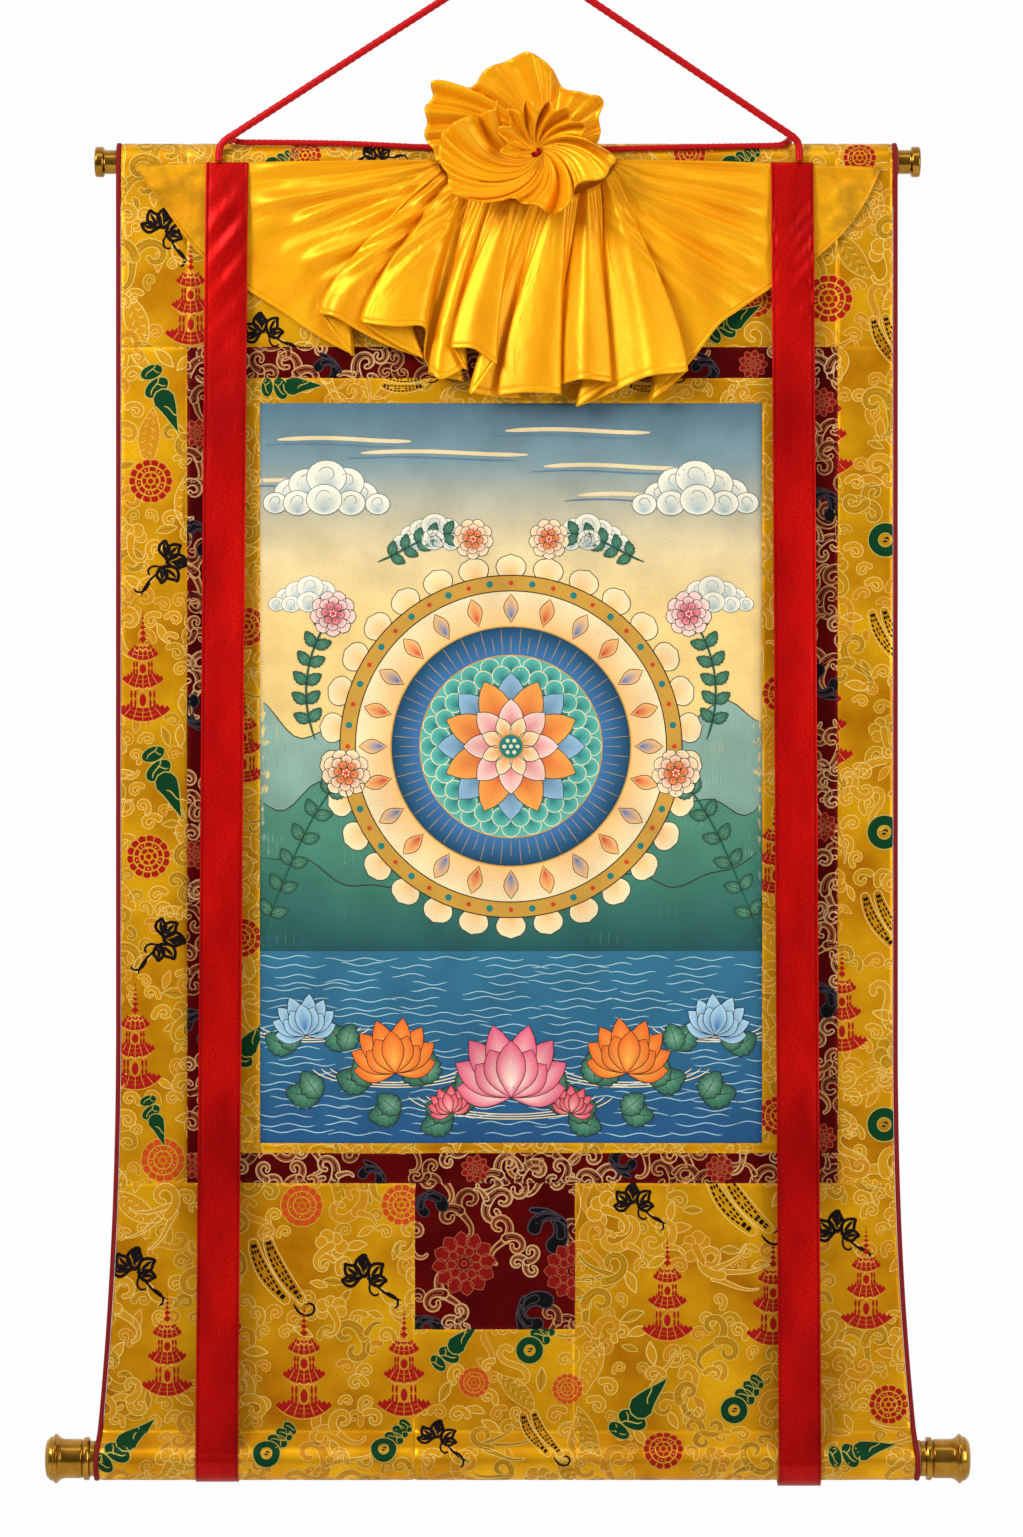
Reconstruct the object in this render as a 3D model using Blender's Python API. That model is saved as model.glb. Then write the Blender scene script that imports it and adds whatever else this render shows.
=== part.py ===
"""A thangka scroll as it hangs: a painted canvas in sewn brocade borders, a gathered silk cover with its
rosette, two ribbons, red cords, a rod in the head sleeve and a roller in the foot sleeve.

Metres, +Z up, the front faces -Y. The origin is the point where the cord hangs on its hook. Inside the
script every place is measured from the middle of the head rod: x across, y behind the cloth, z up.
Each cloth is a sheet with a real thickness, worked out from the curve it hangs in."""

import math
from collections import namedtuple

import bmesh
import bpy
import numpy as np
from mathutils import Vector

MM = 0.001

# Where the scroll hangs: the head rod lies this far under the hook, and a little to its left.
HANG_DROP = 0.1810
HANG_ASIDE = -0.0090

# Cloth thicknesses, and the clear gap between pieces that meet.
BROCADE = 0.0018
SILK = 0.0012
PIPING_OUT = 0.0017
GAP = 0.0003

# The patchwork, from its left edge to its right and from the rod down to the sewn-on foot.
PATCH_LEFT = -0.34875
COLUMN_WIDTHS = {
    "side_left": 0.0595,
    "frame_left": 0.0315,
    "inner_left": 0.0340,
    "canvas": 0.4520,
    "inner_right": 0.0340,
    "frame_right": 0.0340,
    "side_right": 0.0495,
}
ROW_HEIGHTS = {
    "head": 0.1683,
    "frame_top": 0.0280,
    "inner_top": 0.0225,
    "canvas": 0.6660,
    "inner_bottom": 0.0090,
    "frame_bottom": 0.0270,
    "door": 0.1315,
}
DOOR_LEFT, DOOR_RIGHT = -0.0842, 0.0599
PIPING_WIDTH = 0.0042

# The side edges run straight down and then open like a skirt.
FLARE_START = -0.780
FLARE_OUT = 0.0190
FLARE_POWER = 2.2

# Head rod in its sleeve, foot roller in its sleeve. The cloth radii are those of its middle surface.
HEAD_CLOTH_RADIUS = 0.0154
HEAD_ROD_RADIUS = 0.0138
HEAD_HEM_DROP = 0.034
FOOT_AXIS = -1.16865
FOOT_CLOTH_RADIUS = 0.0182
FOOT_ROD_RADIUS = 0.0166
FOOT_CREASE = 0.030
CREASE_EASE = 0.0055
CREASE_EASE_OUT = 0.0012
HEM_OVERLAP = 0.008
HEM_OFFSET = BROCADE + 0.0005
ARC_STEP = math.radians(16)
ROW_STEP = 0.052

HEAD_ROD_ENDS = (-0.3528, 0.3512)
HEAD_SPIGOT_RADIUS = 0.0080
HEAD_SPIGOT_LENGTH = 0.0125
FOOT_ROD_ENDS = (-0.3713, 0.3700)
FOOT_SPIGOT_RADIUS = 0.0110
FOOT_SPIGOT_LENGTH = 0.0260
BORE_CLEARANCE = 0.0003
Rod = namedtuple("Rod", "name end_name profile radius ends spigot_radius spigot_length axis")
TURNED_SIDES = 28

# Turned brass, from the inner end outwards. Columns: distance along the rod (mm), radius (mm).
CAP_PROFILE = (
    (0.0, 10.4), (0.5, 10.8), (11.2, 10.8), (11.9, 12.9), (13.0, 13.7), (18.6, 13.7), (19.8, 12.6),
    (20.2, 9.0),
)
KNOB_PROFILE = (
    (0.0, 15.6), (0.5, 16.0), (4.3, 16.0), (5.2, 18.8), (6.4, 19.4), (9.0, 19.4), (10.2, 18.6), (11.2, 16.6),
    (12.4, 17.6), (27.0, 17.6), (30.0, 18.2), (32.6, 20.0), (34.2, 22.0), (36.4, 22.0), (37.4, 20.4),
    (40.5, 19.4),
    (43.6, 16.0), (45.0, 10.0),
)

# Slow waves of the hanging cloth, a row for each. Columns: wavelength, amplitude, lean (x per z), phase
# (radians), middle height and reach up and down, all lengths in metres.
WAVES = (
    (0.520, 0.0014, 0.10, 0.6, -0.300, 0.240),
    (0.410, 0.0016, -0.35, 2.1, -0.640, 0.260),
    (0.270, 0.0024, 0.30, 1.0, -0.960, 0.170),
    (0.190, 0.0016, -0.20, 3.7, -1.060, 0.090),
)
STILL_BELOW_ROD = 0.020
WAVE_EASE = 0.060

# Ribbons. Columns: name, middle at the head and at the foot (x), how far the loop hangs under the roll.
RIBBON_WIDTH = 0.0383
RIBBONS = (("ribbon_left", -0.2530, -0.2615, 0.0000), ("ribbon_right", 0.2550, 0.2612, 0.0036))
# How a ribbon stands off the cloth. Columns: height (mm), depth in front of the patchwork (mm).
RIBBON_FALL = (
    (-2.7, 3.3), (-16, 5.2), (-50, 8.4), (-100, 10.6), (-240, 12.2), (-520, 14.6), (-860, 17.4),
    (-1100, 19.6),
)
RIBBON_ROLL_RADIUS = 0.0202
RIBBON_MEETS_ROLL = math.radians(20)
RIBBON_END = math.radians(35)

# The silk cover hangs from a gather behind the rosette. Its hem runs from the left wing round to the
# right wing. Angles start at the left, 90 is straight down; reach is the distance from the tie (mm);
# depth is in front of the patchwork (mm). At a pleat the cloth turns back at its edge, the fold that
# shows, and again at its tip, which lies under the pleat; each depth is that of the turn's middle.
TIE = Vector((0.0266, -0.0103, 0.0050))
Spot = namedtuple("Spot", "angle reach depth")
Pleat = namedtuple("Pleat", "edge_angle edge_reach edge_depth tip_angle tip_reach tip_depth")
COVER_HEM = (
    Spot(1.5, 364, 1.8),
    Spot(8, 340, 3.8),
    Spot(17, 316, 4.6),
    Spot(25, 289, 5.0),
    Spot(33, 268, 5.5),
    Pleat(37.0, 243, 15, 46.5, 247, 11),
    Spot(41.0, 232, 24),
    Pleat(45.0, 219, 26, 59.5, 212, 13),
    Spot(51.0, 203, 33),
    Spot(57.5, 188, 28),
    Spot(62.0, 214, 9),
    Pleat(64.5, 221, 17, 71.0, 216, 11),
    Spot(67.0, 222, 24),
    Pleat(67.0, 193, 27, 71.0, 205, 19),
    Spot(72.0, 187, 35.5),
    Pleat(78.2, 195, 31, 75.0, 224, 24),
    Pleat(81.5, 222, 22.5, 85.0, 221, 14),
    Spot(86.5, 217, 31),
    Spot(91.0, 217, 32),
    Pleat(94.5, 219, 26, 92.6, 212, 17),
    Spot(97.0, 209, 24),
    Spot(101.5, 209, 34),
    Pleat(106.8, 217, 25, 99.5, 230, 15),
    Spot(111.0, 224, 23),
    Spot(117.0, 226, 34),
    Pleat(123.3, 238, 24, 115.5, 244, 14),
    Spot(134, 225, 10),
    Spot(142, 229, 8),
    Spot(150, 242, 6),
    Spot(159, 266, 5),
    Spot(168, 290, 4),
    Spot(177.7, 309, 1.8),
)
PLEAT_TURN = 3.0
PLEAT_ROUND = 0.8
GATHER_MIDDLE = 0.0166
GATHER_HALF_WIDTH = 0.080
GATHER_TOP = -0.0005
GATHER_DROP = 0.038
GATHER_DEPTH = 0.0070
PLEATS_AT_GATHER = 0.35
PLEAT_FOLD_TOP = -0.2
COVER_TOP_CLEARANCE = 0.0022
COVER_CLEAR_FROM, COVER_CLEAR_OVER = -0.004, 0.020
COVER_ROWS = 6

# The rosette is the rest of the cover, pulled up through the tie: one strip that fans up and over, turns
# back on itself at the left and runs round the front. Angles start at the right, 90 is straight up.
# Columns: layer, angle (degrees), reach from the tie (mm), depth in front of the patchwork (mm).
ROSETTE_RIM = (
    ("back", 6, 52, 12), ("back", 18, 59, 18), ("back", 30, 63, 13), ("back", 39, 75, 21),
    ("back", 50, 67, 26),
    ("back", 68, 62, 15), ("back", 82, 77, 20), ("back", 96, 89, 22), ("back", 110, 87, 15),
    ("back", 123, 88, 14),
    ("back", 136, 84, 19), ("back", 146, 113, 23), ("back", 152, 107, 14), ("back", 159, 109, 23),
    ("back", 165, 103, 15), ("back", 172, 103, 24), ("back", 179, 94, 17), ("back", 185, 91, 24),
    ("turn", 178, 78, 29), ("turn", 160, 64, 29), ("turn", 144, 56, 31), ("turn", 134, 54, 36),
    ("front", 130, 57, 43), ("front", 138, 52, 49), ("front", 149, 61, 42), ("front", 156, 68, 50),
    ("front", 163, 77, 54), ("front", 170, 86, 48), ("front", 178, 88, 41), ("front", 187, 89, 50),
    ("front", 196, 84, 41), ("front", 206, 88, 50), ("front", 215, 78, 40), ("front", 223, 71, 52),
    ("front", 234, 55, 42), ("front", 245, 50, 47), ("front", 256, 52, 54), ("front", 268, 51, 46),
    ("front", 281, 59, 42), ("front", 290, 60, 53), ("front", 301, 56, 55), ("front", 312, 48, 42),
    ("front", 324, 50, 44), ("front", 335, 64, 52), ("front", 345, 66, 43), ("front", 354, 69, 41),
)
ROSETTE_CORE_RADIUS = 0.0066
# Depth of the strip's inner edge. Columns: share of the strip's length, depth in front of the cloth (mm).
ROSETTE_CORE = ((0.0, 11.2), (0.37, 13.4), (0.49, 20.0), (1.0, 27.0))
ROSETTE_ROWS = 4
ROSETTE_SAMPLES = 2
KNOT_RADII = (0.0058, 0.0060, 0.0058)

# Cords: the hanger runs from ribbon to ribbon over the hook. Columns: x, depth in front, z (mm).
HANGER_DIAMETER = 0.0072
HANGER_ROUTE = (
    (-260.5, 4.9, -1.9), (-260.5, 4.9, 2.0), (-260.3, 4.9, 6.5), (-258.7, 4.9, 12.4), (-253.7, 4.8, 17.9),
    (-246.0, 4.8, 22.9), (-225.0, 4.5, 36.5), (-190.0, 3.9, 59.1), (-150.0, 3.2, 85.0), (-110.0, 2.4, 110.9),
    (-70.0, 1.6, 136.7), (-40.0, 1.0, 156.1), (-18.0, 0.5, 170.4), (-6.0, 0.2, 178.2), (0.6, 0.0, 182.3),
    (8.9, 0.0, 184.7), (16.8, 0.0, 182.1), (24.0, 0.2, 177.3), (40.0, 0.6, 166.4), (70.0, 1.2, 146.1),
    (105.0, 2.0, 122.4), (140.0, 2.8, 98.7), (175.0, 3.5, 74.9), (210.0, 4.2, 51.2), (238.0, 4.6, 32.2),
    (254.9, 4.9, 20.8), (259.8, 4.9, 15.4), (261.4, 4.9, 8.6), (261.5, 4.9, 3.2), (261.5, 4.9, -1.9),
)
# The rail cord lies round the head sleeve.
# Columns: x (mm), angle up round the sleeve from its front (degrees).
RAIL_DIAMETER = 0.0056
RAIL_LIFT = 0.0008
RAIL_LIFT_FROM, RAIL_LIFT_OVER = 50, 30
RAIL_ROUTE = (
    (-252.0, 196), (-252.0, 160), (-252.0, 122), (-251.0, 90), (-247.5, 68), (-240.0, 56.5), (-222.0, 55.5),
    (-187.6, 54.0), (-142.7, 49.5), (-106.7, 41.8), (-72.5, 35.0), (-25.7, 30.0), (26.6, 27.0), (60.8, 27.5),
    (117.5, 32.0), (172.4, 37.0), (217.4, 40.0), (242.0, 43.0), (249.5, 55.0), (253.0, 76), (254.0, 104),
    (254.0, 140), (254.0, 170), (254.0, 196),
)
CORD_STEPS_PER_DIAMETER = 0.5


def cumulative(start, sizes, direction):
    """The edges of a run of pieces: edges[name] is (near, far), each size laid after the last."""
    edges = {}
    here = start
    for name, size in sizes.items():
        after = here + direction * size
        edges[name] = (here, after)
        here = after
    return edges


COLUMNS = cumulative(PATCH_LEFT, COLUMN_WIDTHS, 1)
ROWS = cumulative(0.0, ROW_HEIGHTS, -1)
PATCH_RIGHT = COLUMNS["side_right"][1]
FOOT_TOP = ROWS["frame_bottom"][1]


# ---------------------------------------------------------------- materials and small tools

def material(name, colour, roughness, metallic=0.0, sheen=0.0):
    """A Principled finish; colour is linear red, green, blue."""
    finish = bpy.data.materials.new(name)
    finish.use_nodes = True
    shader = finish.node_tree.nodes["Principled BSDF"]
    shader.inputs["Base Color"].default_value = (*colour, 1.0)
    shader.inputs["Roughness"].default_value = roughness
    shader.inputs["Metallic"].default_value = metallic
    shader.inputs["Sheen Weight"].default_value = sheen
    finish.diffuse_color = (*colour, 1.0)
    return finish


def add_object(name, data, finish, parent):
    """Link an object under the scroll's empty and give it its finish."""
    piece = bpy.data.objects.new(name, data)
    piece.data.materials.append(finish)
    piece.parent = parent
    bpy.context.collection.objects.link(piece)
    return piece


def smooth_curve(points, samples):
    """A Catmull-Rom curve through the points, with this many steps from each point to the next."""
    points = np.asarray(points, float)
    padded = np.vstack([2 * points[0] - points[1], points, 2 * points[-1] - points[-2]])
    before, start, end, after = padded[:-3], padded[1:-2], padded[2:-1], padded[3:]
    steps = np.arange(samples) / samples
    t = steps[None, :, None]
    before, start, end, after = (p[:, None, :] for p in (before, start, end, after))
    curve = 0.5 * (
        2 * start
        + (end - before) * t
        + (2 * before - 5 * start + 4 * end - after) * t**2
        + (3 * start - before - 3 * end + after) * t**3
    )
    return np.vstack([curve.reshape(-1, points.shape[1]), points[-1]])


def evenly(curve, count):
    """The same curve with its points a constant length apart."""
    along = np.concatenate([[0], np.cumsum(np.linalg.norm(np.diff(curve, axis=0), axis=1))])
    targets = np.linspace(0, along[-1], count)
    return np.stack([np.interp(targets, along, curve[:, axis]) for axis in range(curve.shape[1])], axis=1)


def grid_faces(rows, columns, first, flipped):
    """Quads of a grid of vertices that starts at index first."""
    faces = []
    for r in range(rows - 1):
        for c in range(columns - 1):
            a = first + r * columns + c
            quad = (a, a + 1, a + columns + 1, a + columns)
            faces.append(quad[::-1] if flipped else quad)
    return faces


def cloth(name, middle, front, back, finish, parent):
    """A sheet of cloth. middle is its middle surface, an array of rows by columns by 3. The front face
    lies the distance front along the surface's normal, the back face the distance back behind it."""
    down = np.gradient(middle, axis=0)
    across = np.gradient(middle, axis=1)
    normals = np.cross(down, across)
    normals /= np.linalg.norm(normals, axis=2, keepdims=True)
    rows, columns = middle.shape[:2]
    skin = rows * columns
    fronts = (middle + normals * front).reshape(-1, 3)
    backs = (middle - normals * back).reshape(-1, 3)
    points = np.concatenate([fronts, backs])
    faces = grid_faces(rows, columns, 0, False) + grid_faces(rows, columns, skin, True)
    rim = list(range(columns))
    rim += [r * columns + columns - 1 for r in range(1, rows)]
    rim += [skin - 1 - c for c in range(1, columns)]
    rim += [r * columns for r in range(rows - 2, 0, -1)]
    for here, after in zip(rim, rim[1:] + rim[:1]):
        faces.append((after, here, here + skin, after + skin))
    mesh = bpy.data.meshes.new(name)
    mesh.from_pydata(points.tolist(), [], faces)
    shaped = bmesh.new()
    shaped.from_mesh(mesh)
    bmesh.ops.recalc_face_normals(shaped, faces=shaped.faces)
    shaped.to_mesh(mesh)
    shaped.free()
    mesh.shade_smooth()
    mesh.set_sharp_from_angle(angle=math.radians(50))
    return add_object(name, mesh, finish, parent)


def lathe(name, rings, axis_point, finish, parent):
    """A solid turned about a line along x through axis_point. Rings are (x, radius); its ends are capped."""
    shaped = bmesh.new()
    loops = []
    for x, radius in rings:
        turns = [2 * math.pi * step / TURNED_SIDES for step in range(TURNED_SIDES)]
        circle = [Vector((x, radius * math.cos(turn), radius * math.sin(turn))) for turn in turns]
        places = [place + axis_point for place in circle]
        loops.append([shaped.verts.new(place) for place in places])
    for near, far in zip(loops, loops[1:]):
        for step in range(TURNED_SIDES):
            after = (step + 1) % TURNED_SIDES
            shaped.faces.new((near[step], near[after], far[after], far[step]))
    shaped.faces.new(loops[0])
    shaped.faces.new(loops[-1])
    bmesh.ops.recalc_face_normals(shaped, faces=shaped.faces)
    mesh = bpy.data.meshes.new(name)
    shaped.to_mesh(mesh)
    shaped.free()
    mesh.shade_smooth()
    mesh.set_sharp_from_angle(angle=math.radians(35))
    return add_object(name, mesh, finish, parent)


def wooden_rod(rod, finish, parent):
    """A round rod along x, turned down to a spigot at both ends."""
    left, right = rod.ends
    rings = (
        (left - rod.spigot_length, rod.spigot_radius),
        (left, rod.spigot_radius),
        (left, rod.radius),
        (right, rod.radius),
        (right, rod.spigot_radius),
        (right + rod.spigot_length, rod.spigot_radius),
    )
    return lathe(rod.name, rings, rod.axis, finish, parent)


def turned(rod, side, word, finish, parent):
    """A turned brass end of a rod; side is -1 left, 1 right. A blind bore in it takes the rod's spigot."""
    inner_face = rod.ends[0 if side < 0 else 1] + side * GAP
    bore = rod.spigot_radius + BORE_CLEARANCE
    rings = [(inner_face + side * rod.spigot_length, bore), (inner_face, bore)]
    rings += [(inner_face + side * along * MM, radius * MM) for along, radius in rod.profile]
    return lathe(rod.end_name + "_" + word, rings, rod.axis, finish, parent)


def cord(name, route, diameter, finish, parent):
    """A cord as a bevelled curve with filled ends, its points read from a smooth curve through the route."""
    fine = smooth_curve(route, 8)
    length = np.linalg.norm(np.diff(fine, axis=0), axis=1).sum()
    points = evenly(fine, int(length * CORD_STEPS_PER_DIAMETER / diameter) + 1)
    curve = bpy.data.curves.new(name, "CURVE")
    curve.dimensions = "3D"
    curve.bevel_depth = diameter / 2
    curve.bevel_resolution = 2
    curve.use_fill_caps = True
    line = curve.splines.new("POLY")
    line.points.add(len(points) - 1)
    for spot, place in zip(line.points, points):
        spot.co = (*place, 1.0)
    return add_object(name, curve, finish, parent)


# ---------------------------------------------------------------- the shape in which the scroll hangs

def flare(z):
    """How far the side edges stand out at height z: nothing above FLARE_START, then a rising power."""
    run = np.clip((FLARE_START - np.asarray(z, float)) / (FLARE_START - FOOT_AXIS), 0, 1)
    return FLARE_OUT * run**FLARE_POWER


def wave(x, z):
    """Depth of the hanging cloth's slow waves: sines across, each fading away above and below its height."""
    depth = np.zeros(np.broadcast(x, z).shape)
    for length, height, lean, phase, middle, reach in WAVES:
        fade = np.exp(-(((z - middle) / reach) ** 2))
        depth += height * np.sin(2 * math.pi * (x + lean * z) / length + phase) * fade
    clear_of_rods = np.minimum(-z - STILL_BELOW_ROD, z - FOOT_AXIS - FOOT_CREASE)
    free = np.clip(clear_of_rods / WAVE_EASE, 0, 1)
    return depth * free * free * (3 - 2 * free)


def arc(centre, radius, start, stop):
    """Points (y, z) on a circle. Angle 0 is its front, turning up over the top."""
    count = max(2, int(abs(stop - start) / ARC_STEP) + 1)
    turn = np.linspace(start, stop, count + 1)
    return np.stack([centre[0] - radius * np.cos(turn), centre[1] + radius * np.sin(turn)], axis=1)


def touch_angle(centre, radius, point, over):
    """The angle on the circle where a straight line from the point touches it."""
    away = np.array([centre[0] - point[0], point[1] - centre[1]])
    distance = np.hypot(*away)
    return math.atan2(away[1], away[0]) + over * math.acos(radius / distance)


def sleeve_path():
    """The head sleeve in section: up the back from its hem, over the rod and down to the rod's front."""
    centre = (HEAD_CLOTH_RADIUS, 0.0)
    hem = (HEM_OFFSET, -HEAD_HEM_DROP)
    start = touch_angle(centre, HEAD_CLOTH_RADIUS, hem, -1) % (2 * math.pi)
    over = arc(centre, HEAD_CLOTH_RADIUS, start, 0.0)
    return np.vstack([(HEM_OFFSET, -HEAD_HEM_DROP - HEM_OVERLAP), hem, over])


def roll_path(top):
    """The foot sleeve in section: down the front from top, round the roller and up the back to its hem."""
    centre = (0.0, FOOT_AXIS)
    crease = (0.0, FOOT_AXIS + FOOT_CREASE)
    hem = (HEM_OFFSET, FOOT_AXIS + FOOT_CREASE)
    start = touch_angle(centre, FOOT_CLOTH_RADIUS, crease, -1)
    stop = touch_angle(centre, FOOT_CLOTH_RADIUS, hem, 1) - 2 * math.pi
    under = arc(centre, FOOT_CLOTH_RADIUS, start, stop)
    ease = (-CREASE_EASE_OUT, crease[1] - CREASE_EASE)
    straight = front_heights(top, crease[1] + CREASE_EASE)
    front = np.stack([np.zeros_like(straight), straight], axis=1)
    return np.vstack([front, ease, under, hem, (HEM_OFFSET, hem[1] + HEM_OVERLAP)])


def front_heights(top, bottom):
    """Heights down the front of a piece, about ROW_STEP apart."""
    return np.linspace(top, bottom, max(2, int(round((top - bottom) / ROW_STEP)) + 1))


def patch_grid(path, left, right, columns):
    """A patch's middle surface. path is its section (y, z) from top to bottom, left and right its edges."""
    y, z = path[:, :1], path[:, 1:]
    share = np.linspace(0, 1, columns + 1)[None, :]
    west = left(z) if callable(left) else left + GAP / 2 + 0 * z
    east = right(z) if callable(right) else right - GAP / 2 + 0 * z
    x = west + (east - west) * share
    return np.stack([x, y + wave(x, z), np.broadcast_to(z, x.shape)], axis=2)


def left_edge(z):
    return PATCH_LEFT - flare(z)


def right_edge(z):
    return PATCH_RIGHT + flare(z)


# ---------------------------------------------------------------- the pieces

def flat_patch(name, row_names, left, right, columns, finish, parent):
    """A patch that lies flat between two seams."""
    top = ROWS[row_names[0]][0] - GAP / 2
    bottom = ROWS[row_names[-1]][1] + GAP / 2
    z = front_heights(top, bottom)
    path = np.stack([np.zeros_like(z), z], axis=1)
    return cloth(name, patch_grid(path, left, right, columns), BROCADE / 2, BROCADE / 2, finish, parent)


def head_patch(name, left, right, columns, finish, parent):
    """A patch of the head: its top end is the sleeve round the rod."""
    z = front_heights(0.0, ROWS["head"][1] + GAP / 2)[1:]
    path = np.vstack([sleeve_path(), np.stack([np.zeros_like(z), z], axis=1)])
    return cloth(name, patch_grid(path, left, right, columns), BROCADE / 2, BROCADE / 2, finish, parent)


def foot_patch(name, top, left, right, columns, finish, parent):
    """A patch of the foot: its lower end is the sleeve round the roller."""
    path = roll_path(top - GAP / 2)
    return cloth(name, patch_grid(path, left, right, columns), BROCADE / 2, BROCADE / 2, finish, parent)


def piping(name, edge, side, finish, parent):
    """The folded binding along one side edge, from the head sleeve's hem to the foot sleeve's."""
    z = front_heights(0.0, FOOT_AXIS + FOOT_CREASE + ROW_STEP)[1:]
    path = np.vstack([sleeve_path(), np.stack([np.zeros_like(z), z], axis=1), roll_path(z[-1])[1:]])

    def near(z):
        return edge(z) + side * GAP

    def far(z):
        return edge(z) + side * (GAP + PIPING_WIDTH)

    west, east = (near, far) if side > 0 else (far, near)
    return cloth(name, patch_grid(path, west, east, 1), PIPING_OUT, BROCADE / 2, finish, parent)


def ribbon(name, head_x, foot_x, slack, finish, parent):
    """A satin ribbon: it falls in front of the cover and turns under the roll to the back."""
    fall = smooth_curve(np.array(RIBBON_FALL) * (-MM), 3)
    fall = np.stack([fall[:, 1], -fall[:, 0]], axis=1)
    centre = (0.0, FOOT_AXIS - slack / 2)
    under = arc(centre, RIBBON_ROLL_RADIUS + slack / 2, RIBBON_MEETS_ROLL, -math.pi - RIBBON_END)
    path = np.vstack([fall, under])
    y, z = path[:, :1], path[:, 1:]
    middle_x = head_x + (foot_x - head_x) * (z / FOOT_AXIS)
    x = middle_x + RIBBON_WIDTH * np.array([[-0.5, 0.0, 0.5]])
    grid = np.stack([x, np.broadcast_to(y, x.shape), np.broadcast_to(z, x.shape)], axis=2)
    return cloth(name, grid, SILK / 2, SILK / 2, finish, parent)


def cover_hem(fold):
    """The hem as rows of angle, reach and depth. fold is how far the pleats lap: 1 as in the table, less
    nearer the gather, and under 0 each pleat is only a slope. Each turn is a half round."""
    hem = []
    for row in COVER_HEM:
        if isinstance(row, Spot):
            hem.append(tuple(row))
            continue
        facing = math.copysign(1, row.tip_angle - row.edge_angle)
        beyond = facing * PLEAT_ROUND * max(fold, 0)
        tip_angle = row.edge_angle + (row.tip_angle - row.edge_angle) * fold
        tip_reach = row.edge_reach + (row.tip_reach - row.edge_reach) * fold
        turns = [
            (tip_angle, tip_reach, row.tip_depth - PLEAT_TURN),
            (tip_angle + beyond, tip_reach, row.tip_depth),
            (tip_angle, tip_reach, row.tip_depth + PLEAT_TURN),
            (row.edge_angle, row.edge_reach, row.edge_depth - PLEAT_TURN),
            (row.edge_angle - beyond, row.edge_reach, row.edge_depth),
            (row.edge_angle, row.edge_reach - 1, row.edge_depth + PLEAT_TURN),
        ]
        hem += turns if facing > 0 else turns[::-1]
    return np.array(hem)


def silk_cover(finish, parent):
    """The gathered cover. Each line from the gather to the hem starts on a flat half-ellipse behind the
    rosette, in even order, and ends at its place on the hem, so the pleats open and lap downwards."""
    v = np.linspace(0, 1, COVER_ROWS + 1)
    folds = PLEAT_FOLD_TOP + (1 - PLEAT_FOLD_TOP) * v**1.2
    hem = np.stack([cover_hem(fold) for fold in folds])
    v = v[:, None]
    turn = np.radians(hem[:, :, 0])
    hem_x = TIE.x - hem[:, :, 1] * MM * np.cos(turn)
    hem_z = TIE.z - hem[:, :, 1] * MM * np.sin(turn)
    start = np.linspace(0, math.pi, hem.shape[1])
    start_x = GATHER_MIDDLE - GATHER_HALF_WIDTH * np.cos(start)
    start_z = GATHER_TOP - GATHER_DROP * np.sin(start)
    x = start_x + (hem_x - start_x) * (1 - (1 - v) ** 1.5)
    z = start_z + (hem_z - start_z) * v
    opening = PLEATS_AT_GATHER + (1 - PLEATS_AT_GATHER) * v**0.9
    depth = GATHER_DEPTH * (1 - v) ** 4 + hem[:, :, 2] * MM * opening
    hanging = np.clip((COVER_CLEAR_FROM - z) / COVER_CLEAR_OVER, 0, 1)
    depth = np.maximum(depth, BROCADE / 2 + SILK / 2 + GAP + COVER_TOP_CLEARANCE * hanging)
    middle = np.stack([x, -depth, z], axis=2)
    return cloth("cover", middle, SILK / 2, SILK / 2, finish, parent)


def silk_rosette(finish, parent):
    """The rosette's strip, from a spiral round the tie's knot out to its ruffled rim."""
    table = np.array([row[1:] for row in ROSETTE_RIM], float)
    rim = smooth_curve(table, ROSETTE_SAMPLES)
    share = np.linspace(0, 1, len(rim))
    core_depth = np.interp(share, *np.transpose(ROSETTE_CORE)) * MM
    v = np.linspace(0, 1, ROSETTE_ROWS + 1)[:, None]
    core_angle = rim[0, 0] + (rim[-1, 0] - rim[0, 0]) * share
    turn = np.radians(core_angle + (rim[:, 0] - core_angle) * v**0.6)
    reach = ROSETTE_CORE_RADIUS + (rim[:, 1] * MM - ROSETTE_CORE_RADIUS) * v
    depth = core_depth + (rim[:, 2] * MM - core_depth) * v**1.2
    middle = np.stack([TIE.x + reach * np.cos(turn), -depth, TIE.z + reach * np.sin(turn)], axis=2)
    return cloth("rosette", middle, SILK / 2, SILK / 2, finish, parent)


def tie_knot(finish, parent):
    """The knot that holds the gather, seen at the heart of the rosette."""
    shaped = bmesh.new()
    bmesh.ops.create_uvsphere(shaped, u_segments=12, v_segments=8, radius=1.0)
    for vert in shaped.verts:
        vert.co = Vector(c * r for c, r in zip(vert.co, KNOT_RADII)) + TIE
    mesh = bpy.data.meshes.new("tie_knot")
    shaped.to_mesh(mesh)
    shaped.free()
    mesh.shade_smooth()
    return add_object("tie_knot", mesh, finish, parent)


def rail_route():
    """The rail cord's route laid round the sleeve, one cord's radius outside the cloth."""
    against = HEAD_CLOTH_RADIUS + BROCADE / 2 + 2 * GAP + RAIL_DIAMETER / 2
    route = []
    for x, angle in RAIL_ROUTE:
        turn = math.radians(angle)
        outside = against + RAIL_LIFT * min(1, max(0, (angle - RAIL_LIFT_FROM) / RAIL_LIFT_OVER))
        route.append((x * MM, HEAD_CLOTH_RADIUS - outside * math.cos(turn), outside * math.sin(turn)))
    return route


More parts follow.
